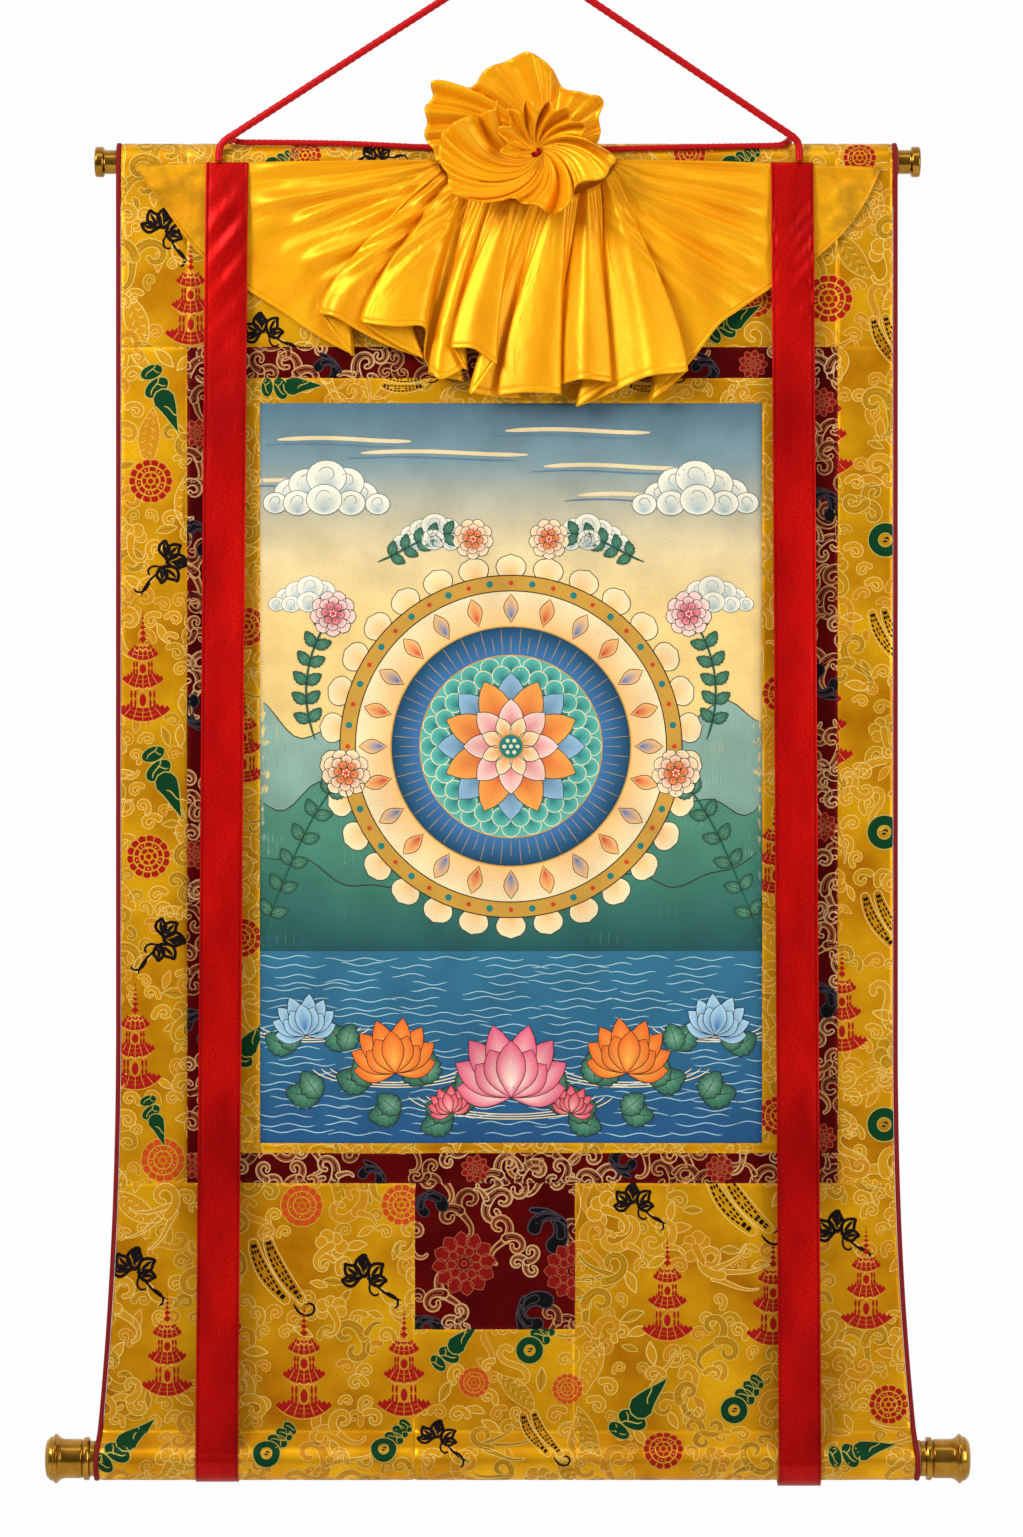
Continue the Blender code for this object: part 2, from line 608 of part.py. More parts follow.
def main():
    for old in list(bpy.data.objects):
        bpy.data.objects.remove(old, do_unlink=True)
    scroll = bpy.data.objects.new("scroll", None)
    scroll.location = (HANG_ASIDE, 0.0, -HANG_DROP)
    bpy.context.collection.objects.link(scroll)

    gold = material("gold brocade", (0.62, 0.33, 0.03), 0.45, sheen=0.3)
    maroon = material("maroon brocade", (0.13, 0.005, 0.006), 0.45, sheen=0.3)
    binding = material("dark red piping", (0.16, 0.004, 0.008), 0.6)
    canvas = material("painted cotton canvas", (0.35, 0.40, 0.38), 0.8)
    yellow = material("yellow silk", (0.90, 0.42, 0.01), 0.35, sheen=0.3)
    red = material("red satin ribbon", (0.52, 0.008, 0.008), 0.35, sheen=0.3)
    rope = material("red silk cord", (0.48, 0.006, 0.008), 0.5)
    brass = material("turned brass", (0.55, 0.36, 0.12), 0.28, metallic=1.0)
    wood = material("pale rod wood", (0.45, 0.27, 0.13), 0.6)

    def edges(*names):
        return COLUMNS[names[0]][0], COLUMNS[names[-1]][1]

    head_left, head_right = edges("frame_left", "frame_right")
    head_patch("head_corner_left", left_edge, head_left, 1, gold, scroll)
    head_patch("head_centre", head_left, head_right, 8, gold, scroll)
    head_patch("head_corner_right", head_right, right_edge, 1, gold, scroll)

    body = ("frame_top", "frame_bottom")
    flat_patch("side_left", body, left_edge, head_left, 1, gold, scroll)
    flat_patch("side_right", body, head_right, right_edge, 1, gold, scroll)

    flat_patch("frame_top", ("frame_top",), head_left, head_right, 8, maroon, scroll)
    flat_patch("frame_bottom", ("frame_bottom",), head_left, head_right, 8, maroon, scroll)
    sides = ("inner_top", "inner_bottom")
    flat_patch("frame_left", sides, *edges("frame_left"), 1, maroon, scroll)
    flat_patch("frame_right", sides, *edges("frame_right"), 1, maroon, scroll)

    inside = edges("inner_left", "inner_right")
    flat_patch("inner_top", ("inner_top",), *inside, 7, gold, scroll)
    flat_patch("inner_bottom", ("inner_bottom",), *inside, 7, gold, scroll)
    flat_patch("inner_left", ("canvas",), *edges("inner_left"), 1, gold, scroll)
    flat_patch("inner_right", ("canvas",), *edges("inner_right"), 1, gold, scroll)
    flat_patch("canvas", ("canvas",), *edges("canvas"), 6, canvas, scroll)

    foot_patch("foot_left", FOOT_TOP, left_edge, DOOR_LEFT, 4, gold, scroll)
    foot_patch("foot_right", FOOT_TOP, DOOR_RIGHT, right_edge, 5, gold, scroll)
    flat_patch("door", ("door",), DOOR_LEFT, DOOR_RIGHT, 3, maroon, scroll)
    foot_patch("foot_centre", ROWS["door"][1], DOOR_LEFT, DOOR_RIGHT, 3, gold, scroll)

    piping("piping_left", left_edge, -1, binding, scroll)
    piping("piping_right", right_edge, 1, binding, scroll)

    head = Rod("head_rod", "cap", CAP_PROFILE, HEAD_ROD_RADIUS, HEAD_ROD_ENDS, HEAD_SPIGOT_RADIUS,
               HEAD_SPIGOT_LENGTH, Vector((0.0, HEAD_CLOTH_RADIUS, 0.0)))
    foot = Rod("foot_roller", "knob", KNOB_PROFILE, FOOT_ROD_RADIUS, FOOT_ROD_ENDS, FOOT_SPIGOT_RADIUS,
               FOOT_SPIGOT_LENGTH, Vector((0.0, 0.0, FOOT_AXIS)))
    for rod in (head, foot):
        wooden_rod(rod, wood, scroll)
        for side, word in ((-1, "left"), (1, "right")):
            turned(rod, side, word, brass, scroll)

    silk_cover(yellow, scroll)
    silk_rosette(yellow, scroll)
    tie_knot(rope, scroll)
    for name, head_x, foot_x, slack in RIBBONS:
        ribbon(name, head_x, foot_x, slack, red, scroll)
    hanger = [(x * MM, -depth * MM, z * MM) for x, depth, z in HANGER_ROUTE]
    cord("hanger_cord", hanger, HANGER_DIAMETER, rope, scroll)
    cord("rail_cord", rail_route(), RAIL_DIAMETER, rope, scroll)


main()
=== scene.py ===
# %% [markdown]
# # A thangka scroll painting
# A painted canvas hangs in borders of silk brocade, under a gathered yellow cover with its rosette, between
# two red ribbons. The model of its solids is loaded first and stays as it is: every finer piece made below
# takes its place from it, so nothing has to be fitted by hand.

import math
from collections import namedtuple

import bpy
import numpy as np
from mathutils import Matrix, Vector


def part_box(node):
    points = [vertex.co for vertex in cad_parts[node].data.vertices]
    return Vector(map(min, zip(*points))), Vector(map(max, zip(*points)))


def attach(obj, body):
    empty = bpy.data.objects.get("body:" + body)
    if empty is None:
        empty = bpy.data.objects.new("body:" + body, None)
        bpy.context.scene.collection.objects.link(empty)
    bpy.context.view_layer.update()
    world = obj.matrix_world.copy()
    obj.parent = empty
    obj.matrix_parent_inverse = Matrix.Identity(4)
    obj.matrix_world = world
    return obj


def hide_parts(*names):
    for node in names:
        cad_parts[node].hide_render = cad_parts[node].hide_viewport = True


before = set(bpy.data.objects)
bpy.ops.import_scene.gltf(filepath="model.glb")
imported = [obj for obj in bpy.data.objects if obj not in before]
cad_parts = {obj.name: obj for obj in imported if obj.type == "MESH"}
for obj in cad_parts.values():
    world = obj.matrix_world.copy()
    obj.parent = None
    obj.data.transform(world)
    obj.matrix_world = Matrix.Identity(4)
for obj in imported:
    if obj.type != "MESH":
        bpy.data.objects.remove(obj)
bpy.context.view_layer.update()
MM = 0.001

# %% [markdown]
# ## Where everything is measured from
# The origin of the model is the hook that the cord hangs on. A maker measures a scroll from its head rod, so
# this file does so too, in millimetres: x across, y behind the cloth, z up. One function takes such places
# to the model's metres. The frame tells where the rod is.

# %% From the rod's millimetres to the model's metres
rod_low, rod_high = (np.array(corner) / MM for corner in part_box("head_rod"))
HOOK_TO_ROD = np.array([-9.0, 0.0, (rod_low[2] + rod_high[2]) / 2])


def to_model(points):
    """Places in mm from the rod's middle, moved by the rod's own place and scaled to metres."""
    return (np.asarray(points, float) + HOOK_TO_ROD) * MM


def box_of(node):
    """A CAD node's lowest and highest corner, in mm from the rod's middle."""
    low, high = (np.array(corner) / MM - HOOK_TO_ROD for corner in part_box(node))
    return low, high


print("head rod hangs", round(-HOOK_TO_ROD[2], 1), "mm under the hook")

# %% [markdown]
# ## The camera
# The scroll was photographed square on from a few metres away, so both sides show alike. A long lens does the
# same here: its focal length follows from the distance and the height of cloth that the picture takes in.

# %% Camera
PICTURE_HEIGHT = 1383.3
PICTURE_MIDDLE = (2.7, -547.65)
CAMERA_DISTANCE = 4600.0
SENSOR = 36.0

lens = bpy.data.cameras.new("long lens")
lens.sensor_width = SENSOR
lens.lens = SENSOR * CAMERA_DISTANCE / PICTURE_HEIGHT
camera = bpy.data.objects.new("camera", lens)
camera.location = to_model((PICTURE_MIDDLE[0], -CAMERA_DISTANCE, PICTURE_MIDDLE[1]))
camera.rotation_euler = (math.radians(90), 0, 0)
bpy.context.collection.objects.link(camera)
bpy.context.scene.camera = camera
print("camera:", round(lens.lens, 1), "mm lens,", CAMERA_DISTANCE / 1000, "m away")

# %% [markdown]
# ## Colours, nodes and meshes
# A few small tools do all the rest. One turns an sRGB colour code into the linear numbers that shaders use.
# One adds a shader node with its settings and links, and one makes a plain finish with a single grain. One
# puts arrays of points and faces into a mesh; the others fill a grid with faces and draw curves.


# %% Tools for colour and shaders
def linear(code):
    """sRGB hex to linear RGBA: c/12.92 up to 0.04045, and ((c + 0.055)/1.055)^2.4 above."""
    part = np.array([int(code[i : i + 2], 16) for i in (1, 3, 5)]) / 255
    return (*np.where(part <= 0.04045, part / 12.92, ((part + 0.055) / 1.055) ** 2.4), 1.0)


# The Mix node's sockets when it mixes colours.
MIX, MIX_A, MIX_B, MIX_OUT = 0, 6, 7, 2


def feed(tree, node, inputs):
    """Set a node's inputs: each a value, a socket to link from, or a node, for its first output."""
    for key, value in inputs.items():
        if isinstance(value, bpy.types.Node):
            value = value.outputs[MIX_OUT if value.bl_idname == "ShaderNodeMix" else 0]
        if isinstance(value, bpy.types.NodeSocket):
            tree.links.new(value, node.inputs[key])
        else:
            node.inputs[key].default_value = value


def add(tree, kind, inputs=None, **settings):
    """Add one shader node and feed it. settings are its properties; every Mix node here mixes colours."""
    made = tree.nodes.new("ShaderNode" + kind)
    if kind == "Mix":
        made.data_type = "RGBA"
    for name, value in settings.items():
        setattr(made, name, value)
    feed(tree, made, inputs or {})
    return made


def new_finish(name, **values):
    """A material with values for the Principled shader's inputs; returns it, its tree and the shader."""
    finish = bpy.data.materials.new(name)
    finish.use_nodes = True
    shader = finish.node_tree.nodes["Principled BSDF"]
    feed(finish.node_tree, shader, {key.replace("_", " "): value for key, value in values.items()})
    return finish, finish.node_tree, shader


def grained(name, dark, bright, space, scale, detail, strength, deep, **values):
    """A finish with one noise in its colour and its bump. space names the coordinates, scale is the noise's
    cells a metre along each axis, and deep is the bump's height in metres."""
    finish, tree, shader = new_finish(name, **values)
    place = add(tree, "TexCoord")
    drawn = add(tree, "Mapping", {"Vector": place.outputs[space], "Scale": scale})
    grain = add(tree, "TexNoise", {"Vector": drawn, "Scale": 1.0, "Detail": detail})
    tone = add(tree, "Mix", {MIX: grain, MIX_A: linear(dark), MIX_B: linear(bright)})
    bump = add(tree, "Bump", {"Strength": strength, "Distance": deep, "Height": grain})
    feed(tree, shader, {"Base Color": tone, "Normal": bump})
    return finish


print("deep red is", [round(c, 3) for c in linear("#B80C0A")])


# %% Tools for meshes
def new_object(name, points, faces, finish, uv=None, thread=None, smooth=True):
    """Points (n x 3, mm) and faces become an object at the origin. uv (n x 2) and thread colours (n x 4) are
    given per point."""
    mesh = bpy.data.meshes.new(name)
    mesh.from_pydata(to_model(points).tolist(), [], faces.tolist())
    corner = np.empty(len(mesh.loops), int)
    mesh.loops.foreach_get("vertex_index", corner)
    if uv is not None:
        layer = mesh.uv_layers.new(name="cloth")
        layer.data.foreach_set("uv", np.asarray(uv, np.float32)[corner].ravel())
    if thread is not None:
        colours = mesh.color_attributes.new("thread", "FLOAT_COLOR", "POINT")
        colours.data.foreach_set("color", np.asarray(thread, np.float32).ravel())
    mesh.polygons.foreach_set("use_smooth", np.full(len(mesh.polygons), smooth))
    mesh.materials.append(finish)
    mesh.update()
    piece = bpy.data.objects.new(name, mesh)
    bpy.context.collection.objects.link(piece)
    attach(piece, "root")
    return piece


def grid_faces(rows, columns, first=0):
    """Quads of a grid whose rows run down and whose columns run right: they face the viewer."""
    a = first + np.arange((rows - 1) * columns).reshape(rows - 1, columns)[:, :-1]
    return np.stack([a, a + columns, a + columns + 1, a + 1], axis=-1).reshape(-1, 4)


def tube_faces(rows, columns):
    """Quads of a grid whose last column joins its first."""
    index = np.arange(rows * columns).reshape(rows, columns)
    near, far = index[:-1], index[1:]
    return np.stack([near, far, np.roll(far, -1, 1), np.roll(near, -1, 1)], axis=-1).reshape(-1, 4)


def shell_uv(across, along):
    """The UV map of a shell, the same for its front and its back: places on the cloth (mm) in metres."""
    uv = np.stack(np.broadcast_arrays(across, along), axis=-1).reshape(-1, 2) * MM
    return np.vstack([uv, uv])


def shell(front, back):
    """A closed sheet from two grids: the front, the back turned over, and quads round the rim."""
    rows, columns = front.shape[:2]
    skin = rows * columns
    index = np.arange(skin).reshape(rows, columns)
    rim = np.concatenate([index[0], index[1:, -1], index[-1, -2::-1], index[-2:0:-1, 0]])
    after = np.roll(rim, -1)
    sides = np.stack([rim, after, after + skin, rim + skin], axis=-1)
    faces = np.concatenate([grid_faces(rows, columns), grid_faces(rows, columns, skin)[:, ::-1], sides])
    return np.concatenate([front.reshape(-1, 3), back.reshape(-1, 3)]), faces


def normals_of(grid):
    """Unit normals of a grid, towards the viewer: the step down crossed with the step right."""
    normal = np.cross(np.gradient(grid, axis=0), np.gradient(grid, axis=1))
    return normal / np.maximum(np.linalg.norm(normal, axis=2, keepdims=True), 1e-9)


def smooth_curve(points, steps):
    """A Catmull-Rom curve through rows of values, with this many steps between rows."""
    points = np.asarray(points, float)
    padded = np.vstack([2 * points[0] - points[1], points, 2 * points[-1] - points[-2]])
    p0, p1, p2, p3 = (part[:, None, :] for part in (padded[:-3], padded[1:-2], padded[2:-1], padded[3:]))
    t = (np.arange(steps) / steps)[None, :, None]
    cubic = 2 * p1 + (p2 - p0) * t + (2 * p0 - 5 * p1 + 4 * p2 - p3) * t**2 + (3 * (p1 - p2) + p3 - p0) * t**3
    return np.vstack([(0.5 * cubic).reshape(-1, points.shape[1]), points[-1]])


def evenly(curve, count):
    """The same curve with its points a constant length apart, and its length."""
    along = np.concatenate([[0], np.cumsum(np.linalg.norm(np.diff(curve, axis=0), axis=1))])
    targets = np.linspace(0, along[-1], count)
    return np.stack([np.interp(targets, along, axis) for axis in curve.T], axis=1), along[-1]


def bell(off, wide):
    """A bell curve: 1 in its middle, and 0.37 at the distance wide from it."""
    return np.exp(-((off / wide) ** 2))


def swell(run, length, phase=0.0):
    """A sine wave of this length; its phase is in radians."""
    return np.sin(2 * math.pi * run / length + phase)


print("tools ready")

# %% [markdown]
# ## The red cords
# The hanging cord is a loosely braided silk cord, 7 mm thick. It leaves one ribbon, goes over the hook and
# comes down to the other. A second, thinner cord lies along the sleeve of the head rod, behind the rosette.
# Each is a tube round its centreline. The braid is in the tube's radius: two sets of ridges wind round it in
# opposite ways, so the tube has diamonds on it, as a braid does.

# %% Cord routes
HANGER_DIAMETER = 7.2
# Columns: x, depth in front of the cloth, z (mm).
HANGER_ROUTE = (
    (-260.5, 4.9, -1.9), (-260.5, 4.9, 2.0), (-260.3, 4.9, 6.5), (-258.7, 4.9, 12.4), (-253.7, 4.8, 17.9),
    (-246.0, 4.8, 22.9), (-225.0, 4.5, 36.5), (-190.0, 3.9, 59.1), (-150.0, 3.2, 85.0), (-110.0, 2.4, 110.9),
    (-70.0, 1.6, 136.7), (-40.0, 1.0, 156.1), (-18.0, 0.5, 170.4), (-6.0, 0.2, 178.2), (0.6, 0.0, 182.3),
    (8.9, 0.0, 184.7), (16.8, 0.0, 182.1), (24.0, 0.2, 177.3), (40.0, 0.6, 166.4), (70.0, 1.2, 146.1),
    (105.0, 2.0, 122.4), (140.0, 2.8, 98.7), (175.0, 3.5, 74.9), (210.0, 4.2, 51.2), (238.0, 4.6, 32.2),
    (254.9, 4.9, 20.8), (259.8, 4.9, 15.4), (261.4, 4.9, 8.6), (261.5, 4.9, 3.2), (261.5, 4.9, -1.9),
)
RAIL_DIAMETER = 5.6
SLEEVE_RADIUS = 15.4
CLOTH = 1.8
GAP = 0.3
# Columns: x (mm), angle up round the sleeve from its front (degrees).
RAIL_ROUTE = (
    (-252.0, 196), (-252.0, 160), (-252.0, 122), (-251.0, 90), (-247.5, 68), (-240.0, 56.5), (-222.0, 55.5),
    (-187.6, 54.0), (-142.7, 49.5), (-106.7, 41.8), (-72.5, 35.0), (-25.7, 30.0), (26.6, 27.0), (60.8, 27.5),
    (117.5, 32.0), (172.4, 37.0), (217.4, 40.0), (242.0, 43.0), (249.5, 55.0), (253.0, 76), (254.0, 104),
    (254.0, 140), (254.0, 170), (254.0, 196),
)


def rail_route():
    """Each angle laid round the sleeve, a cord's radius outside its cloth."""
    x, angle = np.array(RAIL_ROUTE).T
    lifted = 0.8 * np.clip((angle - 50) / 30, 0, 1)
    outside = SLEEVE_RADIUS + CLOTH / 2 + 2 * GAP + RAIL_DIAMETER / 2 + lifted
    turn = np.radians(angle)
    return np.stack([x, SLEEVE_RADIUS - outside * np.cos(turn), outside * np.sin(turn)], axis=1)


hanger_route = np.array(HANGER_ROUTE) * (1, -1, 1)
print("rail cord starts at", rail_route()[0].round(1))


# %% Braided cord
BRAID_STRANDS = 4
BRAID_PITCH = 13.0
BRAID_RELIEF = 0.07
CORD_SIDES = 14


def braided_cord(name, route, diameter, finish):
    """A tube of radius R(1 - relief + relief * (cos(n(a + ws)) + cos(n(a - ws)))/2), a round it and s along
    it; returns its length."""
    fine = smooth_curve(route, 10)
    count = int(evenly(fine, 2)[1] / (diameter * 0.16))
    line, length = evenly(fine, count)
    ahead = np.gradient(line, axis=0)
    ahead /= np.linalg.norm(ahead, axis=1, keepdims=True)
    aside = np.cross(ahead, (0, 1, 0))
    aside /= np.linalg.norm(aside, axis=1, keepdims=True)
    up = np.cross(aside, ahead)
    a = np.linspace(0, 2 * math.pi, CORD_SIDES, endpoint=False)[None, :]
    s = np.linspace(0, length, count)[:, None]
    wind = 2 * math.pi * s / BRAID_PITCH / (diameter / HANGER_DIAMETER) / BRAID_STRANDS * 2
    ridges = np.cos(BRAID_STRANDS * (a + wind)) + np.cos(BRAID_STRANDS * (a - wind))
    radius = diameter / 2 * (1 - BRAID_RELIEF + BRAID_RELIEF * ridges / 2)
    ring = aside[:, None] * np.cos(a)[..., None] + up[:, None] * np.sin(a)[..., None]
    points = (line[:, None] + ring * radius[..., None]).reshape(-1, 3)
    faces = tube_faces(count, CORD_SIDES)[:, (0, 3, 2, 1)]
    ends = len(points)
    points = np.vstack([points, line[0], line[-1]])
    first = np.arange(CORD_SIDES)
    last = first + ends - CORD_SIDES
    caps = [np.stack([np.roll(first, -1), first, np.full(CORD_SIDES, ends)], axis=1)]
    caps += [np.stack([last, np.roll(last, -1), np.full(CORD_SIDES, ends + 1)], axis=1)]
    faces = faces.tolist() + np.concatenate(caps).tolist()
    uv = np.stack(np.broadcast_arrays(s, a * diameter / 2), axis=-1).reshape(-1, 2)
    piece = new_object(name + "_braid", points, np.array(faces, object), finish,
                       np.vstack([uv, uv[:1], uv[-1:]]))
    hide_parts(name)
    return length


print("a ridge goes round once in", BRAID_PITCH * BRAID_STRANDS / 2, "mm")

# %% Cord finish and the two cords
# Dyed silk floss: the metallic part keeps its shine red, and the grain shows its fibres.
cord_red = grained("silk cord, braided", "#8A0508", "#D81418", "Object", (900.0, 900.0, 900.0), 2.0, 0.35,
                   0.0002, Roughness=0.45, Metallic=0.3, Specular_IOR_Level=0.15)

hanger_length = braided_cord("hanger_cord", hanger_route, HANGER_DIAMETER, cord_red)
rail_length = braided_cord("rail_cord", rail_route(), RAIL_DIAMETER, cord_red)
print("cords:", round(hanger_length), "and", round(rail_length), "mm")

# %% [markdown]
# ## How the cloth hangs
# All the brocade hangs in one section: up the back of the rod from its hem, over the rod, straight down the
# front, round the roller and up to the lower hem. A place on the cloth is then two numbers: x across, and s,
# the length of cloth from the rod's front downwards. Every border, seam and woven figure below is laid out in
# (x, s) and carried to its place by one function, so the figures follow each fold exactly.

# %% The section of the cloth
FOOT_AXIS = -1168.65
ROLL_RADIUS = 18.2
CREASE_ABOVE_AXIS = 30.0
CREASE_EASE, CREASE_EASE_OUT = 5.5, 1.2
HEM_OFFSET = CLOTH + 0.5
HEAD_HEM_DROP, HEM_OVERLAP = 34.0, 8.0


def touch_angle(centre, radius, point, over):
    """Where a straight line from the point touches the circle; angle 0 is its front, turning up."""
    away = np.array([centre[0] - point[0], point[1] - centre[1]])
    return math.atan2(away[1], away[0]) + over * math.acos(radius / np.hypot(*away))


def arc(centre, radius, start, stop):
    """Points (y, z) of a circle, 1 degree apart."""
    turn = np.linspace(start, stop, int(abs(stop - start) / math.radians(1)) + 2)
    return np.stack([centre[0] - radius * np.cos(turn), centre[1] + radius * np.sin(turn)], axis=1)


def cloth_section():
    """The section as s, y, z: the sleeve, the front and the roll, read 0.5 mm apart and its corners eased."""
    rod, hem = (SLEEVE_RADIUS, 0.0), (HEM_OFFSET, -HEAD_HEM_DROP)
    over = arc(rod, SLEEVE_RADIUS, touch_angle(rod, SLEEVE_RADIUS, hem, -1) % (2 * math.pi), 0.0)
    roller, crease = (0.0, FOOT_AXIS), (0.0, FOOT_AXIS + CREASE_ABOVE_AXIS)
    back = (HEM_OFFSET, crease[1])
    start = touch_angle(roller, ROLL_RADIUS, crease, -1)
    under = arc(roller, ROLL_RADIUS, start, touch_angle(roller, ROLL_RADIUS, back, 1) - 2 * math.pi)
    ease = [(0.0, crease[1] + CREASE_EASE), (-CREASE_EASE_OUT, crease[1] - CREASE_EASE)]
    section = np.vstack([(HEM_OFFSET, -HEAD_HEM_DROP - HEM_OVERLAP), hem, over, ease, under, back,
                         (HEM_OFFSET, back[1] + HEM_OVERLAP)])
    fine, length = evenly(section, int(2 * (2 * (ROLL_RADIUS + SLEEVE_RADIUS) * math.pi + 1300)))
    eased = fine.copy()
    for _ in range(6):
        eased[1:-1] = (eased[:-2] + 2 * eased[1:-1] + eased[2:]) / 4
    s = np.linspace(0, length, len(eased))
    rod_front = evenly(section[: 2 + len(over)], 2)[1]
    return s - rod_front, eased


SECTION_S, SECTION = cloth_section()
SECTION_AHEAD = np.gradient(SECTION, axis=0)
SECTION_AHEAD /= np.linalg.norm(SECTION_AHEAD, axis=1, keepdims=True)
S_HEAD_HEM, S_FOOT_HEM = SECTION_S[0], SECTION_S[-1]
S_CREASE = -(FOOT_AXIS + CREASE_ABOVE_AXIS)
print("cloth is", round(S_FOOT_HEM - S_HEAD_HEM), "mm long; the roll starts at s =", round(S_CREASE))

# %% [markdown]
# The cloth doesn't hang dead flat. It has a few slow waves, left from being rolled up, and small soft
# buckles where the brocade is heavier than its backing. Both are sums of sines. The sides flare out near the
# foot like a skirt. Next to every seam the cloth dips into it and puckers a little.

# %% Waves, buckles and flare
# Columns: wavelength, amplitude, lean (x per z), phase (radians), middle height and reach up and down, mm.
WAVES = (
    (520, 1.4, 0.10, 0.6, -300, 240),
    (410, 1.6, -0.35, 2.1, -640, 260),
    (270, 2.4, 0.30, 1.0, -960, 170),
    (190, 1.6, -0.20, 3.7, -1060, 90),
)
# Columns: wavelength across, wavelength down, amplitude, phase.
BUCKLES = ((61, 97, 0.20, 0.4), (97, 53, 0.22, 2.0), (143, 41, 0.16, 4.1), (37, 173, 0.12, 1.1))
FLARE_START, FLARE_OUT, FLARE_POWER = -780.0, 19.0, 2.2
STILL_BELOW_ROD, WAVE_EASE = 20.0, 60.0


def flare(z):
    """How far the side edges stand out at height z: nothing above FLARE_START, then a rising power."""
    run = np.clip((FLARE_START - z) / (FLARE_START - FOOT_AXIS), 0, 1)
    return FLARE_OUT * run**FLARE_POWER


def wave(x, z):
    """Depth of the slow waves and the buckles, faded out at the rods."""
    depth = 0 * (x + z)
    for length, height, lean, phase, middle, reach in WAVES:
        depth += height * swell(x + lean * z, length, phase) * bell(z - middle, reach)
    for across, down, height, phase in BUCKLES:
        depth += height * swell(x, across, phase) * swell(z, down, 2 * phase)
    free = np.clip(np.minimum(-z - STILL_BELOW_ROD, z - FOOT_AXIS - CREASE_ABOVE_AXIS) / WAVE_EASE, 0, 1)
    return depth * free * free * (3 - 2 * free)


def hang(x, s, lift):
    """The place of the cloth's point (x, s), lifted off its middle along the section's normal."""
    y, z = (np.interp(s, SECTION_S, side) for side in SECTION.T)
    ahead_y, ahead_z = (np.interp(s, SECTION_S, side) for side in SECTION_AHEAD.T)
    return np.stack([x + 0 * y, y + wave(x, z) + ahead_z * lift, z - ahead_y * lift + 0 * x], axis=-1)


print("at the foot the sides stand out", round(float(flare(FOOT_AXIS)), 1), "mm")

# %% [markdown]
# ## The patchwork
# The mounting is cut from gold and maroon brocade and pieced like a frame: head, sides, a maroon border, a
# thin gold border round the painting, and the foot with its maroon patch. The seams are read from the frame's
# boxes. Each piece is one closed sheet on a grid that is finer beside its seams, where the cloth turns in.

# %% The pieces and their seams
Patch = namedtuple("Patch", "name left right top bottom flared")
# Each piece reaches this far past its CAD seam, so that no light shows between two of them.
SEAM_OVERLAP = 0.25


def patch_of(name, flared="", top=None, bottom=None):
    """A patch's limits in (x, s), from its CAD box. flared names the side that is the scroll's outer edge."""
    low, high = box_of(name)
    s_top = -high[2] - SEAM_OVERLAP if top is None else top
    s_bottom = -low[2] + SEAM_OVERLAP if bottom is None else bottom
    return Patch(name, low[0] - SEAM_OVERLAP, high[0] + SEAM_OVERLAP, s_top, s_bottom, flared)


LEFT_EDGE, RIGHT_EDGE = box_of("head_corner_left")[0][0], box_of("head_corner_right")[1][0]
GOLD = [patch_of(name, flared, top=S_HEAD_HEM) for name, flared in
        (("head_corner_left", "left"), ("head_centre", ""), ("head_corner_right", "right"))]
GOLD += [patch_of("side_left", "left"), patch_of("side_right", "right")]
GOLD += [patch_of(name) for name in ("inner_top", "inner_bottom", "inner_left", "inner_right")]
GOLD += [patch_of(name, flared, bottom=S_FOOT_HEM) for name, flared in
         (("foot_left", "left"), ("foot_centre", ""), ("foot_right", "right"))]
MAROON = [patch_of(name) for name in ("frame_top", "frame_bottom", "frame_left", "frame_right", "door")]
for patch in GOLD + MAROON:
    print(patch.name, "is", round(patch.right - patch.left, 1), "x", round(patch.bottom - patch.top, 1), "mm")


# %% A patch's skin
SEAM_DIP, SEAM_WIDTH = 0.75, 1.7
PUCKER, PUCKER_LENGTH, PUCKER_REACH = 0.16, 14.0, 8.0


def patch_sides(patch, s):
    """x of the patch's left and right edge at s."""
    z = np.interp(s, SECTION_S, SECTION[:, 1])
    left = LEFT_EDGE - flare(z) if patch.flared == "left" else patch.left + 0 * z
    right = RIGHT_EDGE + flare(z) if patch.flared == "right" else patch.right + 0 * z
    return left, right


def seam_shape(patch, x, s):
    """The cloth beside its seams: a bell-shaped dip at the edge, and puckers that fade away from it."""
    left, right = patch_sides(patch, s)
    aside = np.minimum(x - left, right - x)
    along = np.minimum(s - patch.top, patch.bottom - s)
    near = np.maximum(np.minimum(aside, along), 0)
    run = np.where(aside < along, s, x)
    pucker = PUCKER * swell(run, PUCKER_LENGTH, 1.3 * np.sin(run / 23)) * np.exp(-near / PUCKER_REACH)
    return pucker * np.clip(near / 2, 0, 1) - SEAM_DIP * bell(near, SEAM_WIDTH)


def skin(patch, x, s, lift=0.0):
    """A place on the patch's face, lifted off the cloth."""
    return hang(x, s, CLOTH / 2 + seam_shape(patch, x, s) + lift)


def stops(start, stop, step, close=(0.0, 0.7, 1.5, 2.6, 4.2)):
    """Grid lines between two seams: near each seam at the close distances, and evenly between."""
    inner = np.linspace(start + close[-1], stop - close[-1], max(2, int((stop - start) / step)))
    return np.concatenate([start + np.array(close[:-1]), inner, (stop - np.array(close[:-1]))[::-1]])


